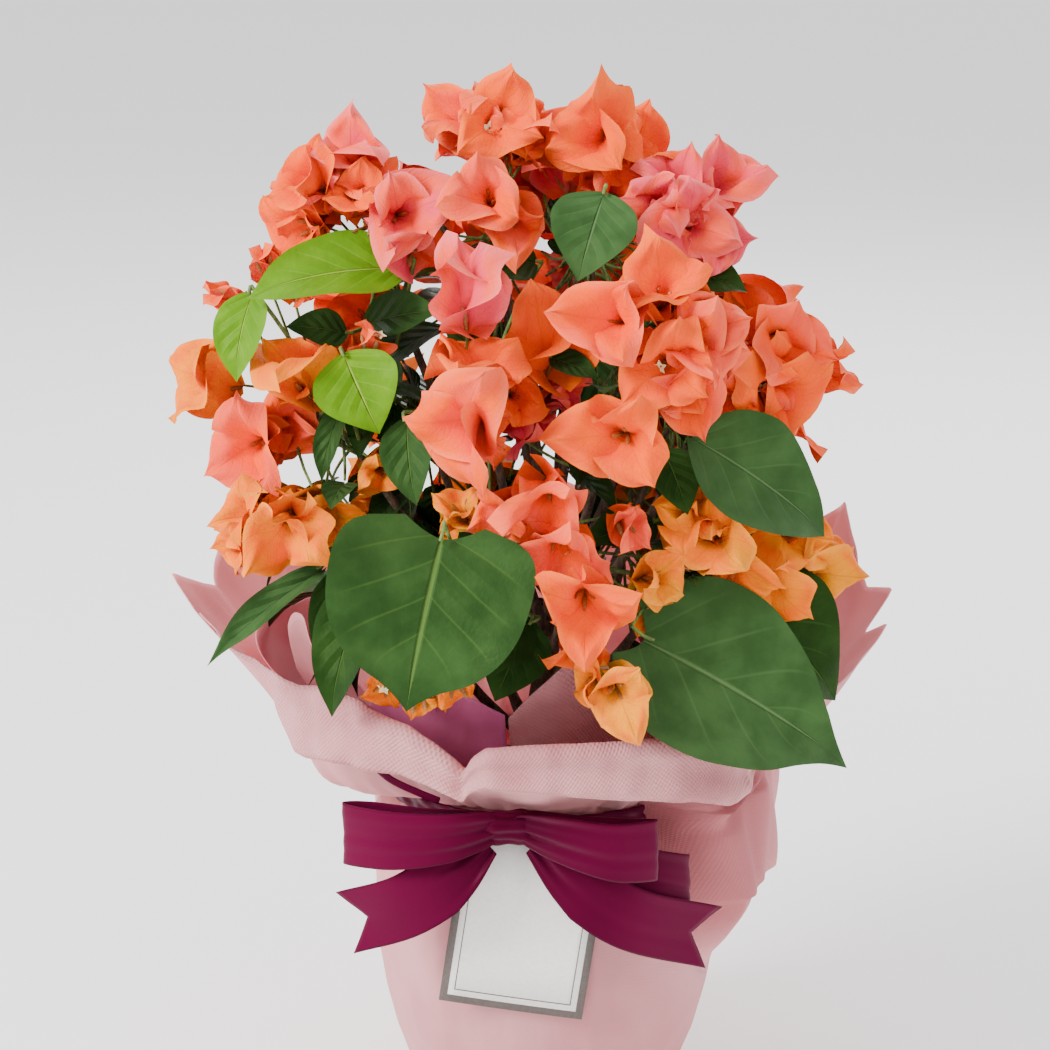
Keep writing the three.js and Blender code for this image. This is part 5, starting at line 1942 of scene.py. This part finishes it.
@dataclass
class Bow:
    """The satin bow: a band round the neck, a knot, three loops and two tails with swallow ends."""

    width: float = 28.0
    gathered: float = 11.0
    notch: float = 12.0
    band: float = 72.4
    knot: Point = (-16.0, -88.0, 158.0)
    strap_sheet: float = 0.0004
    loops: dict[str, tuple[Point, ...]] = field(
        default_factory=lambda: {
            "bow_loop_left": (
                (-20, -91, 159), (-42, -97, 156), (-68, -94, 154), (-88, -84, 154), (-79, -82, 154.5),
                (-50, -89, 156), (-21, -88, 159),
            ),
            "bow_loop_right": (
                (-12, -91, 159), (8, -101, 156), (30, -104, 152), (48, -97, 151), (40, -96, 151.5),
                (16, -96, 155), (-11, -88, 159),
            ),
            "bow_loop_low": (
                (16, -83.8, 145), (30, -87, 141), (50, -84, 133), (63, -76, 128), (52, -75, 129),
                (34, -82.3, 138),
            ),
        }
    )  # fmt: skip
    tails: dict[str, tuple[Point, ...]] = field(
        default_factory=lambda: {
            "bow_tail_left": ((-25, -90, 151), (-39, -94, 139), (-60, -93, 124), (-88, -81, 111)),
            "bow_tail_right": ((-5, -90, 151), (11, -95.5, 137), (35, -97, 120), (74, -78, 103)),
        }
    )

    def strip(self, line: Array, half: Array, rise: Array, crease: float, cut: float = 0.0) -> Array:
        """A ribbon along a line, with creases that run out from the knot.

        Args:
            line: The centre line.
            half: Half its width at each point of the line.
            rise: The direction of its width at each point.
            crease: How deep the creases are at the gathered end.
            cut: How deep the swallow tail at its end is cut.

        Returns:
            The grid.
        """
        along = unit(np.gradient(line, axis=0))
        out = unit(np.cross(along, rise))
        w = np.linspace(-1, 1, 25)
        tight = np.clip(1 - (half / (self.width / 2)), 0, 1)[:, None]
        t = np.linspace(0, 1, len(line))[:, None]
        deep = crease * (0.12 + 1.5 * tight)
        folds = deep * (np.sin(w * 7.5 + 0.7) + 0.6 * np.sin(w * 13 + 2)) + 0.35 * np.sin(w * 2.2 + 4 * t)
        grid = line[:, None] + rise[:, None] * (w[None, :] * half[:, None])[..., None]
        grid = grid + out[:, None] * folds[..., None]
        pull = np.clip((t - 0.6) / 0.4, 0, 1) * (np.abs(w) - 1) * cut
        return grid + along[:, None] * pull[..., None]

    def band_grid(self) -> Array:
        """The band that gathers the neck, a little creased.

        Returns:
            The grid.
        """
        turn = np.linspace(0, TURN, 241)
        rows = []
        for k, z in enumerate(np.linspace(150.2, 157.4, 9)):
            r = self.band + 0.45 * np.sin(23 * turn) + 0.35 * np.sin(turn * 41 + k) + 0.3 * math.sin(k * 1.3)
            rows.append(around(turn, r, z))
        return np.array(rows)

    def knot_grid(self) -> Array:
        """The knot: a flat roll of ribbon, pinched into folds that run from loop to loop.

        Returns:
            The grid.
        """
        turn = np.linspace(0, TURN, 65)
        x, y, z = self.knot
        rows = []
        for h in np.linspace(-1, 1, 25):
            swell = max(0.0, 1 - abs(h) ** 3) ** 0.5
            fold = 1 + 0.07 * np.sin(5 * turn + 1.5 * h) + 0.05 * np.sin(11 * turn)
            waist = 1 - 0.16 * math.exp(-((h / 0.4) ** 2))
            deep, tall = 6.4 * swell * fold * waist, 8.4 * swell * fold * waist
            points = (np.full(65, x + 12 * h), y + deep * np.cos(turn), z + tall * np.sin(turn))
            rows.append(np.column_stack(points))
        return np.array(rows)

    def strap_grid(self) -> Array:
        """A narrow end of ribbon that shows under the cuff, left of the bow."""
        line = smooth_curve([(-78, -72, 184), (-68, -81, 178), (-58, -86, 174.5), (-46, -88, 170)], 24)
        wide = np.linspace(-1.6, 1.6, 5)
        return line[:, None] + vec(0.35, 0, 0.94) * wide[None, :, None]

    def loop_grid(self, name: str, points: tuple[Point, ...]) -> Array:
        """A loop: gathered at the knot and full in its middle, but for the low one, which is flat.

        Args:
            name: The loop's name.
            points: The points of its centre line.

        Returns:
            The grid.
        """
        line = smooth_curve(list(points), 56)
        half = mix(self.gathered, self.width, np.sin(math.pi * np.linspace(0, 1, 57)) ** 0.6) / 2
        if name == "bow_loop_low":
            half = np.full(57, self.width / 2 - 1.0)
        return self.strip(line, half, np.tile(UP, (57, 1)), 1.0)

    def tail_grid(self, points: tuple[Point, ...]) -> Array:
        """A tail, which widens from the knot and lies slanting on the cloth.

        Args:
            points: The points of its centre line.

        Returns:
            The grid.
        """
        line = smooth_curve(list(points), 44)
        half = mix(self.gathered, self.width, np.minimum(1, np.linspace(0, 1, 45) * 2.2)) / 2
        rise = unit(np.cross(unit(line * LEVEL), unit(np.gradient(line, axis=0))))
        return self.strip(line, half, rise, 0.9, self.notch)

    def ribbon(self, name: str, grid: Array, satin: bpy.types.Material) -> Piece:
        """A length of ribbon, with a map in metres across its width and along its length.

        Args:
            name: The name of the solid that it dresses.
            grid: Its points.
            satin: Its material.

        Returns:
            The piece, without thickness.
        """
        along = np.arange(grid.shape[0]) * 2.2 * MM
        v, u = np.meshgrid(along, np.linspace(0, self.width * MM, grid.shape[1]), indexing="ij")
        return Patches().grid(grid, np.dstack((u, v))).build(name + "_satin", satin)

    def build(self) -> None:
        """Makes the band, the knot, the loops and the tails."""
        satin = SATIN.make()
        set_down(thickened(self.ribbon("bow_band", self.band_grid(), satin)), "ribbon", "bow_band")
        set_down(self.ribbon("bow_knot", self.knot_grid(), satin), "ribbon", "bow_knot")
        set_down(thickened(self.ribbon("bow_strap", self.strap_grid(), satin), self.strap_sheet), "ribbon")
        grids = {name: self.loop_grid(name, points) for name, points in self.loops.items()}
        grids |= {name: self.tail_grid(points) for name, points in self.tails.items()}
        for name, grid in grids.items():
            set_down(thickened(self.ribbon(name, grid, satin)), "ribbon", name)


@dataclass
class GiftCard:
    """A bare card with a printed border, which leans on the wrap under the knot."""

    width: float = 64.0
    height: float = 88.0
    sheet: float = 0.00035
    tilt: float = 8.5
    border: float = 3.4
    line: float = 6.0
    line_width: float = 0.45
    bow: float = 0.6
    middle: Point = (-9.0, -80.2, 113.0)

    def grid(self, across: tuple[float, float], up: tuple[float, ...], forward: float) -> Array:
        """A field on the card.

        Args:
            across: Where it starts and ends from left to right.
            up: The heights of its rows.
            forward: How far it stands in front of the card's sheet.

        Returns:
            Its points in mm.
        """
        tilt = math.radians(self.tilt)
        right, rise = vec(math.cos(tilt), 0, -math.sin(tilt)), vec(math.sin(tilt), 0, math.cos(tilt))
        rows = []
        for z in up:
            row = []
            for x in np.linspace(*across, 13):
                bent = self.bow * (x / self.width * 2) ** 2 - self.bow / 2
                row.append(np.array(self.middle) + right * x + rise * z + vec(0, bent - forward, 0))
            rows.append(row)
        return np.array(rows)

    def panel(self, inset: float, forward: float) -> Array:
        """A field that leaves an inset free all round."""
        w, h = self.width / 2 - inset, self.height / 2 - inset
        return self.grid((-w, w), (-h, -h / 3, h / 3, h), forward)

    def build(self) -> None:
        """Makes the card: its border, the field in front of it and a fine line on the field."""
        card = Patches().grid(self.panel(0, 0), None, 1).grid(self.panel(self.border, 0.12), None, 0)
        w, h, thin = self.width / 2 - self.line, self.height / 2 - self.line, self.line_width
        for across, up in (
            ((-w, w), (-h, -h + thin)), ((-w, w), (h - thin, h)), ((-w, -w + thin), (-h, h)),
            ((w - thin, w), (-h, h)),
        ):  # fmt: skip
            card.grid(self.grid(across, up, 0.2), None, 1)
        piece = card.build("gift_card_stock", CARD_STOCK.make(), CARD_FRAME.make())
        set_down(thickened(piece, self.sheet), "card", "gift_card")


@dataclass
class Studio:
    """A plain pale floor, soft light and the photograph's camera."""

    distance: float = 1.5
    tilt: float = 15.0
    # The photograph's width in pixels, and millimetres to a pixel
    pixels: int = 1050
    scale: float = 0.45
    sensor: float = 36.0
    aim: Point = (-0.009, 0.0, 0.270)
    centre: Point = (0.0, 0.0, 0.26)

    def lamp(self, name: str, at: Point, size: float, power: float) -> None:
        """A square soft light that looks at the bush.

        Args:
            name: The light's name.
            at: Where it stands, in metres.
            size: The length of its side in metres.
            power: Its power in watts.
        """
        data = bpy.data.lights.new(name, "AREA")
        data.shape, data.size, data.energy = "SQUARE", size, power
        lamp = put(name, data)
        lamp.location = at
        lamp.rotation_euler = (Vector(self.centre) - Vector(at)).to_track_quat("-Z", "Y").to_euler()

    def build(self) -> None:
        """Makes the floor, the lights, the world and the camera."""
        floor = put_mesh("floor", [(-8, -8, 0), (8, -8, 0), (8, 12, 0), (-8, 12, 0)], [], [(0, 1, 2, 3)])
        paint = Paint("floor_matt", Roughness=0.9)
        shade = paint.noise(paint.place(), 1.2, 1)
        floor.data.materials.append(paint.finish(paint.blend(shade, "#f6f5f4", "#f8f7f6")))
        world = bpy.data.worlds.new("studio")
        world.use_nodes = True
        back = world.node_tree.nodes["Background"]
        back.inputs[0].default_value = linear("#fdfdff")
        back.inputs[1].default_value = 1.4
        bpy.context.scene.world = world
        self.lamp("key", (-1.7, -1.0, 1.5), 0.9, 88)
        self.lamp("fill", (1.5, -1.2, 0.7), 1.3, 4)
        self.lamp("back", (0.5, 1.5, 1.5), 1.0, 30)
        camera = put("camera", bpy.data.cameras.new("camera"))
        camera.data.sensor_width = self.sensor
        camera.data.lens = self.distance / MM / (self.pixels * self.scale) * self.sensor
        camera.data.clip_end = 40
        tilt = math.radians(self.tilt)
        camera.location = Vector(self.aim) + Vector((0, -math.cos(tilt), math.sin(tilt))) * self.distance
        camera.rotation_euler = (math.pi / 2 - tilt, 0, 0)
        bpy.context.scene.camera = camera


def main() -> None:
    """Builds the scene: studio, planting, wrap, bow, card and bush."""
    logging.basicConfig(level=logging.INFO, format="%(message)s", stream=sys.stdout)
    Studio().build()
    Planting().build()
    Bow().build()
    GiftCard().build()
    Wrap().build()
    for lining in LININGS:
        lining.build()
    bush = Bush()
    bush.build()
    Flowers().build(bush.blooms)


if __name__ == "__main__":
    main()
